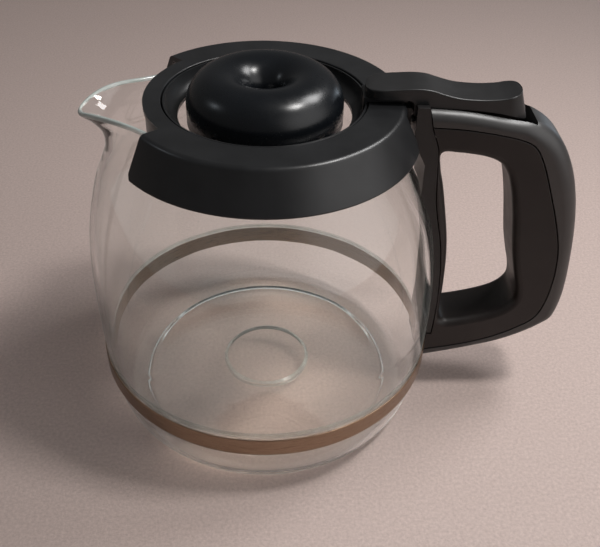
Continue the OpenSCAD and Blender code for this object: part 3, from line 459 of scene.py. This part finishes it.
def noise(tree, scale, detail=3.0, rough=0.55, stretch=None):
    """Noise in the object's own coordinates."""
    coord = tree.nodes.new("ShaderNodeTexCoord")
    tex = tree.nodes.new("ShaderNodeTexNoise")
    tex.inputs["Scale"].default_value = scale
    tex.inputs["Detail"].default_value = detail
    tex.inputs["Roughness"].default_value = rough
    source = coord.outputs["Object"]
    if stretch:
        mapping = tree.nodes.new("ShaderNodeMapping")
        mapping.inputs["Scale"].default_value = stretch
        tree.links.new(source, mapping.inputs["Vector"])
        source = mapping.outputs["Vector"]
    tree.links.new(source, tex.inputs["Vector"])
    return tex.outputs["Fac"]


def spread(tree, source, low, high, start=0.3, stop=0.7, how="LINEAR"):
    """Maps a value on to a range."""
    node = tree.nodes.new("ShaderNodeMapRange")
    node.interpolation_type = how
    for key, v in zip(("From Min", "From Max", "To Min", "To Max"), (start, stop, low, high)):
        node.inputs[key].default_value = v
    tree.links.new(source, node.inputs["Value"])
    return node.outputs["Result"]


def mixed(tree, share, first, second, output):
    """Mixes two shaders by a share and gives the result to the tree's output node."""
    mix = tree.nodes.new("ShaderNodeMixShader")
    for source, place in zip((share, first, second), (0, 1, 2)):
        tree.links.new(source, mix.inputs[place])
    tree.links.new(mix.outputs["Shader"], tree.nodes[output].inputs["Surface"])


def tinted(tree, source, low, high, start=0.3, stop=0.7):
    """Maps a texture's value on to two colours."""
    ramp = tree.nodes.new("ShaderNodeValToRGB")
    ramp.color_ramp.elements[0].position, ramp.color_ramp.elements[1].position = start, stop
    ramp.color_ramp.elements[0].color = (*low, 1)
    ramp.color_ramp.elements[1].color = (*high, 1)
    tree.links.new(source, ramp.inputs["Fac"])
    return ramp.outputs["Color"]


def bumped(tree, shader, source, strength, depth):
    """Gives a shader fine relief from a texture's value."""
    bump = tree.nodes.new("ShaderNodeBump")
    bump.inputs["Strength"].default_value = strength
    bump.inputs["Distance"].default_value = depth
    tree.links.new(source, bump.inputs["Height"])
    tree.links.new(bump.outputs["Normal"], shader.inputs["Normal"])


def plastic(name, dark, light, rough, bump=0.12, grain=5200.0, level=0.5):
    """Moulded plastic: a fine spark-eroded grain, and slow changes of tone and shine."""
    mat, tree, shader = material(name)
    slow = noise(tree, 55.0)
    tree.links.new(tinted(tree, slow, dark, light), shader.inputs["Base Color"])
    tree.links.new(spread(tree, noise(tree, 160.0, 4.0), rough - 0.035, rough + 0.035),
                   shader.inputs["Roughness"])
    bumped(tree, shader, noise(tree, grain, 2.0), bump, GRAIN_DEPTH)
    shader.inputs["Specular IOR Level"].default_value = level
    return mat


def metal(name, dark, light, rough, stretch=None, scale=900.0, bump=0.1):
    """Metal with fine lines, drawn out by stretch."""
    mat, tree, shader = material(name)
    lines = noise(tree, scale, 3.0, 0.6, stretch)
    tree.links.new(tinted(tree, lines, dark, light), shader.inputs["Base Color"])
    tree.links.new(spread(tree, lines, rough - 0.05, rough + 0.07), shader.inputs["Roughness"])
    bumped(tree, shader, lines, bump, LINE_DEPTH)
    shader.inputs["Metallic"].default_value = 1.0
    return mat


def clear_glass(name):
    """Clear glass with faint waves, which tints its own shadow, most where it is seen edge on."""
    mat, tree, shader = material(name)
    shader.inputs["Base Color"].default_value = (0.985, 0.995, 0.99, 1)
    shader.inputs["Transmission Weight"].default_value = 1.0
    shader.inputs["IOR"].default_value = GLASS_IOR
    shader.inputs["Sheen Weight"].default_value = 0.45
    shader.inputs["Sheen Roughness"].default_value = 0.2
    shader.inputs["Sheen Tint"].default_value = (0.9, 1.0, 0.96, 1)
    tree.links.new(spread(tree, noise(tree, 18.0, 2.0), 0.0, 0.012), shader.inputs["Roughness"])
    bumped(tree, shader, noise(tree, 26.0, 1.0, 0.4), 0.06, WAVE_DEPTH)
    path = tree.nodes.new("ShaderNodeLightPath")
    through = tree.nodes.new("ShaderNodeBsdfTransparent")
    edge = tree.nodes.new("ShaderNodeLayerWeight")
    edge.inputs["Blend"].default_value = 0.5
    tree.links.new(tinted(tree, edge.outputs["Facing"], (0.77, 0.745, 0.715), (0.17, 0.16, 0.145),
                          0.35, 1.0), through.inputs["Color"])
    mixed(tree, path.outputs["Is Shadow Ray"], shader.outputs["BSDF"], through.outputs["BSDF"],
          "Material Output")
    return mat


def painted_highlight_glass(name, clear):
    """Painted highlight for the fire-polished rim and the creases: pale, partly matt glass that stands in
    for the light they gather.
    """
    mat, tree, shader = material(name)
    # The pale colours are the painted highlight
    tree.links.new(tinted(tree, noise(tree, 120.0, 3.0), (0.62, 0.7, 0.66), (0.86, 0.92, 0.89)),
                   shader.inputs["Base Color"])
    tree.links.new(spread(tree, noise(tree, 60.0, 2.0), 0.05, 0.2), shader.inputs["Roughness"])
    shader.inputs["Transmission Weight"].default_value = clear
    shader.inputs["IOR"].default_value = GLASS_IOR
    return mat


GLASS_MAT = clear_glass("jug_glass")
# Painted highlights on the rim and the creases: pale glass in place of the light they gather
RIM_HIGHLIGHT_MAT, CREASE_HIGHLIGHT_MAT = painted_highlight_glass("rim_painted_highlight", 0.45), painted_highlight_glass("crease_painted_highlight", 0.75)
SATIN = plastic("collar_plastic", (0.009, 0.0094, 0.0102), (0.0148, 0.0154, 0.0166), 0.33)
COVER = plastic("cover_plastic", (0.0115, 0.0105, 0.0105), (0.0175, 0.016, 0.016), 0.42, level=0.8)
GRIP = plastic("grip_plastic", (0.0095, 0.0062, 0.0054), (0.0145, 0.0102, 0.0092),
               0.46, 0.2, 3600.0, 0.4)
LEVER = plastic("lever_plastic", (0.0115, 0.0115, 0.012), (0.0175, 0.0175, 0.018), 0.36)
STRIP = plastic("strip_plastic", (0.008, 0.0072, 0.0072), (0.013, 0.012, 0.012), 0.4)
GLOSS = plastic("dome_plastic", (0.0035, 0.0045, 0.006), (0.0055, 0.0068, 0.0088),
                0.27, 0.05, level=0.42)
RUBBER = plastic("gasket_rubber", (0.03, 0.03, 0.03), (0.045, 0.045, 0.044), 0.7, 0.25, 2400.0)
BAND = metal("band_steel", (0.25, 0.165, 0.11), (0.36, 0.255, 0.18), 0.3, (1.0, 1.0, 26.0), 140.0)
STEEL = metal("screw_steel", (0.5, 0.5, 0.5), (0.62, 0.62, 0.61), 0.32)


# Glass jug

LOW_LINE = [[FOOT_R + (BELLY_R - FOOT_R) * s[0], s[1] * BELLY_Z] for s in curve(LOW_SHARES, 6)]
HIGH_ROWS = curve(HIGH_SHARES, 6)


def jug_point(s, a):
    """Outer point of the upper glass on row s, at an angle of a degrees from the lip."""
    f = math.exp(-((a / (s[4] * LIP_SPREAD)) ** 2))
    g = f ** 4
    return [NECK_R + (BELLY_R - NECK_R) * s[0] + (LIP_REACH - NECK_R) * s[2] * f,
            BELLY_Z + (RIM_Z - GLASS / 2 - BELLY_Z) * s[1] - LIP_DROP * s[3] * g
            + LIP_LIFT * (f - g) * max(s[1], 0) ** 8]


ROUND_LINE = LOW_LINE + [jug_point(s, 180) for s in HIGH_ROWS[1:]]


def glass_r(z):
    """Outer radius of the round glass at a height."""
    return value([[p[1], p[0]] for p in ROUND_LINE], z)


def jug_section(a):
    """Outline of the glass at one angle: axis, underside, up the outside, down the inside, axis."""
    inner_low = [p for p in shifted(LOW_LINE, -GLASS) if p[1] > FLOOR_Z + 1]
    outer = [jug_point(s, a) for s in HIGH_ROWS]
    inner = shifted(outer, -GLASS)
    top, end = Vector(outer[-1]), Vector(inner[-1])
    middle, across = (top + end) / 2, (top - end) / 2
    ahead = Vector((-across.y, across.x))
    rim = [list(middle + across * math.cos(t) + ahead * math.sin(t))
           for t in (math.pi * k / 10 for k in range(1, 10))]
    crown, lift = FLOOR_CROWN, [FLOOR_Z - FLOOR_T + v for v in UNDER_CROWN]
    floor = softened([
        (0, FLOOR_Z + crown[0], 0), (DIMPLE_R - 1, FLOOR_Z + crown[1], 2),
        (DIMPLE_R + 1, FLOOR_Z + crown[2], 2), (FLOOR_R - 2, FLOOR_Z + crown[3], 3),
        (STEP_R, FLOOR_T + 0.9, 3), (FOOT_R - 1.5, FLOOR_T + 0.3, 3),
        (FOOT_R + 2, FLOOR_T + 1.3, 3), (*inner_low[0], 0)], 6)
    under = softened([
        (0, lift[0], 0), (DIMPLE_R - 1, lift[1], 3), (DIMPLE_R + 1, lift[2], 3),
        (FLOOR_R - 2, lift[3], 3), (STEP_R, 0, 2), (*LOW_LINE[0], 0)], 6)
    return (under[:-1] + LOW_LINE + outer[1:] + rim + list(reversed(inner))
            + list(reversed(inner_low))[1:] + list(reversed(floor))[1:])


def jug():
    """The glass, its sections closest together near the lip."""
    sides = 240
    angles = [u + LIP_CROWD * math.sin(math.radians(u))
              for u in (360 * i / sides for i in range(sides))]
    loops = [jug_section(abs(a - 180)) for a in angles]
    n = len(loops[0])
    verts = [(r * math.cos(math.radians(a)), r * math.sin(math.radians(a)), z)
             for a, loop in zip(angles, loops) for r, z in loop]
    faces = [(i * n + j, i * n + j + 1, ((i + 1) % sides) * n + j + 1, ((i + 1) % sides) * n + j)
             for i in range(sides) for j in range(n - 1)]
    return mesh_of("glass_body", [(verts, faces)])


def painted_highlight_faces(mesh):
    """Gives the rim, the creases of the floor and a line above the band the materials of their painted
    highlights.
    """
    mesh.materials.append(RIM_HIGHLIGHT_MAT)
    mesh.materials.append(CREASE_HIGHLIGHT_MAT)
    # Slots of the painted highlights: pale glass on the rim, and on the creases and the line above the band
    rim, crease_highlight = 1, 2
    for face in mesh.polygons:
        x, y, z = (v / MM for v in face.center)
        r = math.hypot(x, y)
        if HIGHLIGHT_ABOVE_BAND[0] < z - BAND_TOP < HIGHLIGHT_ABOVE_BAND[1]:
            face.material_index = crease_highlight
        if FLOOR_T + 1 < z < CREASE_HIGHLIGHT_TO_Z and (abs(r - DIMPLE_R) < DIMPLE_HIGHLIGHT
                                              or abs(r - FLOOR_R - STEP_HIGHLIGHT) < STEP_HIGHLIGHT):
            face.material_index = crease_highlight
        if z < RIM_HIGHLIGHT_FROM_Z:
            continue
        a = abs(math.degrees(math.atan2(y, x)) % 360 - 180)
        low, top = (Vector(jug_point(HIGH_ROWS[k], a)) for k in (-2, -1))
        ahead = (top - low).normalized()
        middle = top + Vector((-ahead.y, ahead.x)) * (GLASS / 2)
        if (Vector((r, z)) - middle).dot(ahead) > -RIM_HIGHLIGHT_CAP:
            face.material_index = rim


glass = placed(jug(), "server", GLASS_MAT, ["glass_jug"], 50, False)
# Painted highlights on the glass's rim, creases and a line above the band
painted_highlight_faces(glass.data)


# Collar

def wedge(inner, front, back, reach, low, high, corner):
    """What the collar leaves out at the lip, outside a ring, its lower corners rounded."""
    loops = []
    for r in (inner, reach):
        v, w = (r * math.tan(math.radians(a)) for a in (front, back))
        side = softened([(-v, high, 0), (w, high, 0), (w, low + corner, 1), (w + corner, low, 0),
                         (w + corner, low - OVERRUN, 0), (-v - corner, low - OVERRUN, 0),
                         (-v - corner, low, 0), (-v, low + corner, 1)], 4)
        loops.append([(-r, y, z) for y, z in side])
    return lofted(loops)


slope = (SKIRT_R - COLLAR_R) / SKIRT_H
sleeve_in, ledge_in = SLEEVE_R - SLEEVE_T, MOUTH_R - LEDGE_IN
collar = mesh_of("collar_shell", [turned(softened([
    (MOUTH_R, COLLAR_Z, 0.5), (COLLAR_R + COLLAR_MORE, COLLAR_Z, 2.6),
    (SKIRT_R + SKIRT_MORE, SKIRT_Z, 0.7), (SKIRT_R - SKIRT_T, SKIRT_Z, 0.6),
    (COLLAR_R - SKIRT_T + slope * COLLAR_T, PLATE_Z, 1.2), (SLEEVE_R, PLATE_Z, 0.4),
    (SLEEVE_R, COLLAR_Z - SLEEVE_H, 0.6), (sleeve_in, COLLAR_Z - SLEEVE_H, 0.6),
    (sleeve_in, LEDGE_Z - LEDGE_T, 0.3), (ledge_in, LEDGE_Z - LEDGE_T, 0.4),
    (ledge_in, LEDGE_Z, 0.4), (sleeve_in, LEDGE_Z, 0.3), (sleeve_in, PLATE_Z, 0.3),
    (MOUTH_R, PLATE_Z, 0.4)], 8), 256)])
lip_cut = mesh_of("lip_cut", [wedge(GAP_IN, FRONT_GAP, BACK_GAP, GAP_OUT, SKIRT_Z - 0.2,
                                    COLLAR_Z + 6, GAP_CORNER)])
cut(lip_cut, [turned([[0, SKIRT_Z - 20], [RING_R, SKIRT_Z - 20], [RING_R, COLLAR_Z + 20],
                      [0, COLLAR_Z + 20]])])
cut(collar, [lip_cut])
flare_y = SKIRT_GAP + GAP_FLARE
handle_side = [(SKIRT_GAP, PLATE_Z, 0.6), (SKIRT_GAP, SKIRT_Z + GAP_FLARE, 1),
               (flare_y, SKIRT_Z - 0.2, 0), (flare_y, SKIRT_Z - 6, 0)]
handle_cut = softened([(-SKIRT_GAP, PLATE_Z, 0.6)] + handle_side
                      + [(-y, z, r) for y, z, r in reversed(handle_side[1:])], 4)
cut(collar, [lofted([[(x, y, z) for y, z in handle_cut] for x in (SKIRT_GAP_X, GAP_OUT)])])
soften(collar, 0.45, 48)
cut(collar, [block(*COLLAR_LUG, 0.3)], "UNION")
placed(collar, "server", SATIN, ["collar"])


# Band

band_in = glass_r(BAND_TOP) + 0.15
band_out = band_in + BAND_T
band = mesh_of("band_ring", [turned(softened([
    (band_in, BAND_Z, 0.1), (band_in, BAND_TOP, 0.1), (band_out - 0.25, BAND_TOP, 0.2),
    (band_out, BAND_TOP - 0.9, 0.5), (band_out, BAND_Z + 0.9, 0.5),
    (band_out - 0.25, BAND_Z, 0.2)], 3), 256)])
cut(band, [block((0, -EAR_Y, BAND_Z - OVERRUN), (FAR, EAR_Y, BAND_TOP + OVERRUN))])
ears = [block((band_in, y, BAND_Z + EAR_IN + EAR_UP),
              (band_out + EAR_LEN, y + BAND_T, BAND_TOP - EAR_IN + EAR_UP), 1.2)
        for y in (-EAR_Y - BAND_T, EAR_Y)]
cut(band, ears, "UNION")
placed(band, "server", BAND, ["steel_band"], 30)


# Strip against the glass

rise = STRIP_TOP - LEAVE_Z
strip_high = [[HINGE_X + s[1], LEAVE_Z + s[0] * rise] for s in reversed(curve(STRIP_LINE, 6))]
strip_low = [p for p in reversed(shifted(ROUND_LINE, GAP + MOUNT_T)) if STRIP_Z < p[1] < LEAVE_Z]
strip_end = [glass_r(STRIP_Z) + GAP + MOUNT_T, STRIP_Z]


def glass_room(gap):
    """Solid that fills the round glass."""
    line = ([[0, -OVERRUN], [FOOT_R + gap, -OVERRUN]] + shifted(ROUND_LINE, gap)
            + [[NECK_R + gap, RIM_Z + gap], [0, RIM_Z + gap]])
    return turned(line, 240)


def strip_room(gap):
    """Everything on the glass side of the strip's outer line."""
    top = STRIP_TOP + OVERRUN
    return prism([[0, top], [HINGE_X + STRIP_LINE[-1][1] + gap, top]]
                 + [[x + gap, z] for x, z in strip_high] + [[x + gap, z] for x, z in strip_low]
                 + [[strip_end[0] + gap, strip_end[1] - gap], [0, STRIP_Z - gap]], -WIDE, WIDE)


strip = mesh_of("mount_strip", [prism(
    [[LUG_FACE_X, STRIP_TOP]] + strip_high + strip_low + [strip_end]
    + [[FOOT_R, STRIP_Z], [FOOT_R, LEAVE_Z - 10], [HINGE_X + 3.7, LEAVE_Z + 0.53 * rise],
       [LUG_FACE_X, LEAVE_Z + 0.73 * rise]], -MOUNT_HALF, MOUNT_HALF)])
slot_z = HINGE_Z - BOSS_R - SLOT_ROOM
cut(strip, [glass_room(GAP), block((LUG_FACE_X - OVERRUN, -CHEEK_Y, slot_z),
                                   (LUG_FACE_X + 15, CHEEK_Y, STRIP_TOP + OVERRUN), 1.0)])
soften(strip, 0.5, 45)
placed(strip, "server", STRIP, ["handle_mount"])


# Handle

def handle_line(shares, steps, closed=False):
    """A line of the handle's side view from shares of its reach and height."""
    return curve([[BELLY_R + s[0] * REACH, LOW_Z + (HANDLE_TOP - LOW_Z) * s[1]] for s in shares],
                 steps, closed)


OUTER = handle_line(OUTER_SHARES, 5)
wide = [p[0] for p in curve([[s[2]] for s in OUTER_SHARES], 5)]
SEAM = handle_line(SEAM_SHARES, 5)
FINGER = handle_line(GAP_SHARES, 5, True)


def tilted(x, z, drop=0.0):
    """A point of the lever in the side view, turned down to its limit."""
    a = math.radians(LIFT)
    return [HINGE_X + x * math.cos(a) + z * math.sin(a),
            HINGE_Z - x * math.sin(a) + z * math.cos(a) - drop]


tail = [tilted(TAIL * x, RISE * z, TAIL_ROOM) for x, z in LEVER_LOW_SHARES[4:]]
tail_back = HINGE_X + math.hypot(TAIL, RISE / 2) + TAIL_ROOM
pocket = ([[tail_back, HINGE_Z - RISE], [tail_back + OVERRUN, HINGE_Z],
           [tail_back + OVERRUN, POCKET_TOP], [HINGE_X - OVERRUN, POCKET_TOP],
           [HINGE_X - OVERRUN, slot_z]] + tail + [[tail_back, tail[-1][1]]])
band_room = rod(0, 0, -OVERRUN, band_out + GAP, STRIP_Z + OVERRUN, "z", 240)
clamp_x, clamp_z = band_out + CLAMP_OUT, BAND_Z + BAND_W / 2 + EAR_UP
ear_room = block((band_out - OVERRUN, -EAR_Y - EAR_ROOM, LOW_SCREW_ROOM[0]),
                 (band_out + EAR_LEN + 1, EAR_Y + EAR_ROOM, BAND_TOP - 0.2), 0.3)
nut_room = block((clamp_x - CLAMP_NUT_R, CLAMP_NUT_Y[0], 0),
                 (clamp_x + CLAMP_NUT_R, CLAMP_NUT_Y[1], clamp_z + 2), 0.3)

grip = mesh_of("grip_shell", [slab(SEAM, HANDLE_HALF, 0.45, 3)])
cut(grip, [slab(FINGER, HANDLE_HALF + 0.1, -GRIP_EDGE, 12), glass_room(GAP), band_room,
           strip_room(SEAM_GAP), prism(pocket, -CHEEK_Y, CHEEK_Y), ear_room,
           rod(clamp_x, HANDLE_HALF - 6, clamp_z, CLAMP_HEAD_R, 15, "y"), nut_room])
soften(grip, 0.3, 48, 2)
placed(grip, "server", GRIP, ["handle_grip"])

seam_side = list(reversed(shifted(SEAM, -SEAM_GAP)))
cover = mesh_of("cover_shell", [slab(OUTER + seam_side, HANDLE_HALF,
                                     wide + [SEAM_GAP] * len(seam_side), 9)])
cut(cover, [glass_room(GAP), band_room, strip_room(SEAM_GAP), prism(pocket, -CHEEK_Y, CHEEK_Y),
            rod(HIGH_SCREW[0], 0, HIGH_SCREW[1], SCREW_HEAD_R, 8, "z"),
            rod(LOW_SCREW_X, 0, LOW_SCREW_ROOM[0], SCREW_HEAD_R, LOW_SCREW_ROOM[1], "z")])
soften(cover, 0.4, 48, 2)
placed(cover, "server", COVER, ["handle_cover"])


# Lid

def bowl():
    """Inner line of the lid's bowl, from its edge down."""
    bowl_shares = [[0, 0], [0.1, 0.3], [0.3, 0.62], [0.62, 0.87], [1, 1]]
    line = curve(bowl_shares, 6)
    return [[LID_R - BOWL_EDGE + (BOWL_R - LID_R + BOWL_EDGE) * s[0],
             LID_TOP + (BOWL_FOOT - LID_TOP) * s[1]] for s in line]


ring = mesh_of("lid_bowl", [turned(
    [[LID_R - 0.1, LID_TOP - 0.25], [LID_R - 0.35, LID_TOP]] + bowl()
    + softened([(BOWL_R, BOWL_FOOT - 0.1, 0), (BOWL_R, LID_FOOT, 0.4),
                (BOWL_R + LID_WALL, LID_FOOT, 0.5), (LID_R - 1.6, LID_FOOT + 2.2, 2),
                (LID_R, LID_FOOT + 5.3, 1), (LID_R, LID_TOP - 0.6, 0)], 4)[1:], 224)])
hoop = turned(softened([(DOME_R - HOOP_W, HOOP_Z, 0.3), (DOME_R, HOOP_Z, 0.3),
                        (DOME_R, HOOP_TOP, 0.3), (DOME_R - HOOP_W, HOOP_TOP, 0.3)], 3), 160)
spoke = prism(softened([(DOME_R - 2, HOOP_Z, 0.2), (DOME_R - 2, HOOP_TOP, 0.2),
                        (BOWL_R + 1, HOOP_TOP, 0.2), (BOWL_R + 1, HOOP_Z, 0.2)], 3),
              -SPOKE_HALF, SPOKE_HALF)
lug_foot = block((LID_R - LUG_IN, -LUG_HALF, LID_TOP - 3), (LID_R - 0.5, LUG_HALF, LUG_TOP))
lug = block((LID_R - LUG_IN, -LUG_HALF, COLLAR_Z + 0.4), (HINGE_X - 6, LUG_HALF, LUG_TOP), 0.3)
cut(ring, [hoop] + [spun(spoke, a) for a in SPOKE_ANGLES] + [lug_foot, lug], "UNION")
placed(ring, "lid", SATIN, ["lid_ring"])


def dome_arc(r, n):
    """Upper half of the dome's round section."""
    return [[RING_LINE + r * math.cos(math.pi * k / n), DOME_Z + r * math.sin(math.pi * k / n)]
            for k in range(n + 1)]


dome = mesh_of("dome_shell", [turned(
    [[DOME_R, HOOP_TOP]] + dome_arc(TUBE_R, 64) + [[DRIP_R, HOOP_Z], [DRIP_R + LID_WALL, HOOP_Z]]
    + list(reversed(dome_arc(TUBE_R - LID_WALL, 32))) + [[DOME_R - LID_WALL, HOOP_TOP]], 224)])
placed(dome, "lid", GLOSS, ["lid_dome"], 50, False)

plate_top, seat_r, spout_r = BASE_Z + BASE_T, DRIP_R + SEAT_W, DRIP_R + LID_WALL
base = mesh_of("base_plate", [turned(softened([
    (DRIP_R, BASE_Z - DRIP_H, 0.4), (spout_r, BASE_Z - DRIP_H, 0.4), (spout_r, BASE_Z, 0.8),
    (DOME_R, BASE_Z, 0.7), (DOME_R, plate_top, 0.3), (seat_r, plate_top, 0.2),
    (seat_r, HOOP_TOP, 0.2), (spout_r + 0.02, HOOP_TOP, 0.2), (spout_r + 0.02, HOOP_Z, 0.1),
    (DRIP_R, HOOP_Z, 0.1)], 4), 160)])
placed(base, "lid", SATIN, ["lid_base"])


# Thumb lever

def lever_line(shares, steps):
    """A line of the lever's side view."""
    return curve([[HINGE_X + x * (NOSE if x < 0 else TAIL), HINGE_Z + z * RISE]
                  for x, z in shares], steps)


def lever_stations():
    """Places along the lever, each with its share of the width, round at both ends."""
    front = HINGE_X - NOSE
    turns = [math.radians(90 * k / END_STEPS) for k in range(END_STEPS + 1)]
    length = LEVER_BACK - TAIL_R - front - NOSE_R
    return ([(front + NOSE_R * (1 - math.cos(t)), math.sin(t) ** 0.75) for t in turns]
            + [(front + NOSE_R + length * k / BODY_STEPS, 1.0) for k in range(1, BODY_STEPS)]
            + [(LEVER_BACK - TAIL_R + TAIL_R * math.sin(t), math.cos(t) ** 0.75) for t in turns])


def lever_loop(x, share, top, low):
    """Section of the lever: its dished top, round edges and sides, which lean back at the tail."""
    half = (LEVER_HALF - TAPER * max(0.0, (x - TAPER_X) / TAPER_LEN)) * share
    lean = max(0.0, (x - LEAN_X) / (LEVER_BACK - LEAN_X)) ** 2
    zt = value(top, x)
    xb = x + lean * (HINGE_X + TAIL - LEVER_BACK)
    zb = min(value(low, xb), zt - 1.0)
    inner, fall = max(half - LEVER_EDGE, 0.0), min(LEVER_EDGE, half)
    dish, edge_z = LEVER_DISH * min(half / LEVER_HALF, 1.0), zt - LEVER_EDGE
    face = [(x, inner * k / 6, zt - dish * (1 - (k / 6) ** 2)) for k in range(-6, 7)]
    side = [(x, inner + fall * math.sin(a), zt - LEVER_EDGE * (1 - math.cos(a)))
            for a in map(math.radians, (30, 60, 90))]
    side += [(x + (xb - x) * t, inner + fall, edge_z + (zb - edge_z) * t)
             for t in (0.33, 0.66, 0.93)]
    side.append((xb, max(inner + fall - 0.4, 0), zb))
    return face + side + [(a, -b, c) for a, b, c in reversed(side)]


def lever():
    """The thumb lever with the boss that turns about the pin."""
    top, low = lever_line(LEVER_TOP_SHARES, 8), lever_line(LEVER_LOW_SHARES, 6)
    boss_r, boss_top, boss_z = BOSS_R - 0.01, LUG_TOP - 0.3, HINGE_Z - BOSS_R
    boss = prism(softened([(HINGE_X - BOSS_R, boss_z, boss_r), (HINGE_X - BOSS_R, boss_top, 0),
                           (HINGE_X + BOSS_R, boss_top, 0), (HINGE_X + BOSS_R, boss_z, boss_r)], 10),
                 -LEVER_HALF + 0.3, LEVER_HALF - 0.3)
    body = mesh_of("thumb_tab", [lofted([lever_loop(x, share, top, low)
                                         for x, share in lever_stations()])])
    return cut(body, [boss], "UNION")


placed(lever(), "lid", LEVER, ["thumb_lever"], 35)


# Small parts, shown as their solids

for node in ("collar_gasket", "hinge_pin", "collar_screw", "collar_nut", "mount_screws",
             "band_screw", "band_nut", "cover_screws", "lid_screws", "lever_screws"):
    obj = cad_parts[node]
    obj.data.materials.clear()
    obj.data.materials.append(RUBBER if node == "collar_gasket" else STEEL)


# Stage, light and camera

TABLE_X, TABLE_FRONT, TABLE_BACK = 2500, -1800, 3200
WINDOW = (0.85, -0.42, 0.32)  # direction of the brighter side of the room


def floor():
    """The pale table top, just under the foot of the jug."""
    mat, tree, shader = material("table_top")
    tree.links.new(tinted(tree, noise(tree, 620.0, 6.0, 0.75), (0.49, 0.385, 0.352),
                          (0.69, 0.56, 0.515)), shader.inputs["Base Color"])
    tree.links.new(spread(tree, noise(tree, 90.0), 0.5, 0.62), shader.inputs["Roughness"])
    bumped(tree, shader, noise(tree, 950.0, 5.0, 0.7), 0.5, TABLE_DEPTH)
    shader.inputs["Specular IOR Level"].default_value = 0.35
    corners = [(-TABLE_X, TABLE_FRONT, 0), (TABLE_X, TABLE_FRONT, 0), (TABLE_X, TABLE_BACK, 0),
               (-TABLE_X, TABLE_BACK, 0)]
    obj = mesh_of("table", [(corners, [(0, 1, 2, 3)])])
    if obj.data.polygons[0].normal.z < 0:
        obj.data.flip_normals()
    obj.data.materials.append(mat)
    obj.location.z = -0.1 * MM


def lamp(name, place, aim, size, power, colour):
    """A soft lamp, which isn't seen through the glass."""
    data = bpy.data.lights.new(name, "AREA")
    data.shape, data.size, data.size_y = "RECTANGLE", size[0], size[1]
    data.energy, data.color = power, colour
    obj = bpy.data.objects.new(name, data)
    obj.location = place
    obj.rotation_euler = (Vector(aim) - Vector(place)).to_track_quat("-Z", "Y").to_euler()
    obj.visible_transmission = False
    bpy.context.scene.collection.objects.link(obj)


def room():
    """The world: brighter at the right, as from a window, and paler to what goes through the glass."""
    world = bpy.data.worlds.new("room")
    bpy.context.scene.world = world
    world.use_nodes = True
    tree = world.node_tree
    sky, pale = tree.nodes["Background"], tree.nodes.new("ShaderNodeBackground")
    sky.inputs["Color"].default_value = (0.9, 0.88, 0.87, 1)
    pale.inputs["Color"].default_value = (0.93, 0.97, 0.95, 1)
    pale.inputs["Strength"].default_value = 0.6
    coord = tree.nodes.new("ShaderNodeTexCoord")
    toward = tree.nodes.new("ShaderNodeVectorMath")
    toward.operation = "DOT_PRODUCT"
    toward.inputs[1].default_value = WINDOW
    tree.links.new(coord.outputs["Generated"], toward.inputs[0])
    tree.links.new(spread(tree, toward.outputs["Value"], 0.125, 1.6, 0.72, 1.0, "SMOOTHSTEP"),
                   sky.inputs["Strength"])
    # Light that a matt surface gathers through the glass stays that of the plain room
    path = tree.nodes.new("ShaderNodeLightPath")
    lit = tree.nodes.new("ShaderNodeMath")
    lit.operation, lit.use_clamp = "SUBTRACT", True
    tree.links.new(path.outputs["Is Transmission Ray"], lit.inputs[0])
    tree.links.new(path.outputs["Diffuse Depth"], lit.inputs[1])
    mixed(tree, lit.outputs["Value"], sky.outputs["Background"], pale.outputs["Background"],
          "World Output")


def photo_camera(place, yaw, pitch, roll):
    """The camera of the photograph, turned by degrees."""
    yaw, pitch, roll = (math.radians(v) for v in (yaw, pitch, roll))
    ahead = Vector((math.sin(yaw) * math.cos(pitch), math.cos(yaw) * math.cos(pitch),
                    -math.sin(pitch)))
    right = Vector((math.cos(yaw), -math.sin(yaw), 0))
    up = right.cross(ahead)
    right, up = (right * math.cos(roll) + up * math.sin(roll),
                 up * math.cos(roll) - right * math.sin(roll))
    data = bpy.data.cameras.new("camera")
    data.lens, data.sensor_width, data.sensor_fit = 48.0, 36.0, "HORIZONTAL"
    data.clip_start, data.clip_end = 0.01, 20
    camera = bpy.data.objects.new("camera", data)
    rows = [(*axes, start) for *axes, start in zip(right, up, -ahead, place)]
    camera.matrix_world = Matrix(rows + [(0, 0, 0, 1)])
    bpy.context.scene.collection.objects.link(camera)
    bpy.context.scene.camera = camera


floor()
# Each lamp's place, aim and size in metres, its power in watts and its colour
lamp("key", (0.3, -0.06, 0.67), (0.0, 0.0, 0.1), (0.1, 0.1), 2.0, (1.0, 0.98, 0.96))
lamp("back", (0.38, 0.16, 0.6), (0.0, 0.0, 0.1), (0.2, 0.2), 1.8, (0.98, 0.97, 0.97))
lamp("side", (0.85, 0.75, 0.2), (0.0, 0.0, 0.14), (0.35, 0.2), 0.5, (0.75, 0.88, 1.0))
lamp("left", (-0.8, 0.0, 0.7), (0.0, 0.0, 0.12), (0.12, 0.12), 0.3, (0.85, 0.92, 1.0))
room()
# Fitted to the outlines in the photo
photo_camera((0.00547, -0.3132, 0.3155), 2.107, 38.56, 1.633)
bpy.context.scene.view_settings.view_transform = "Standard"
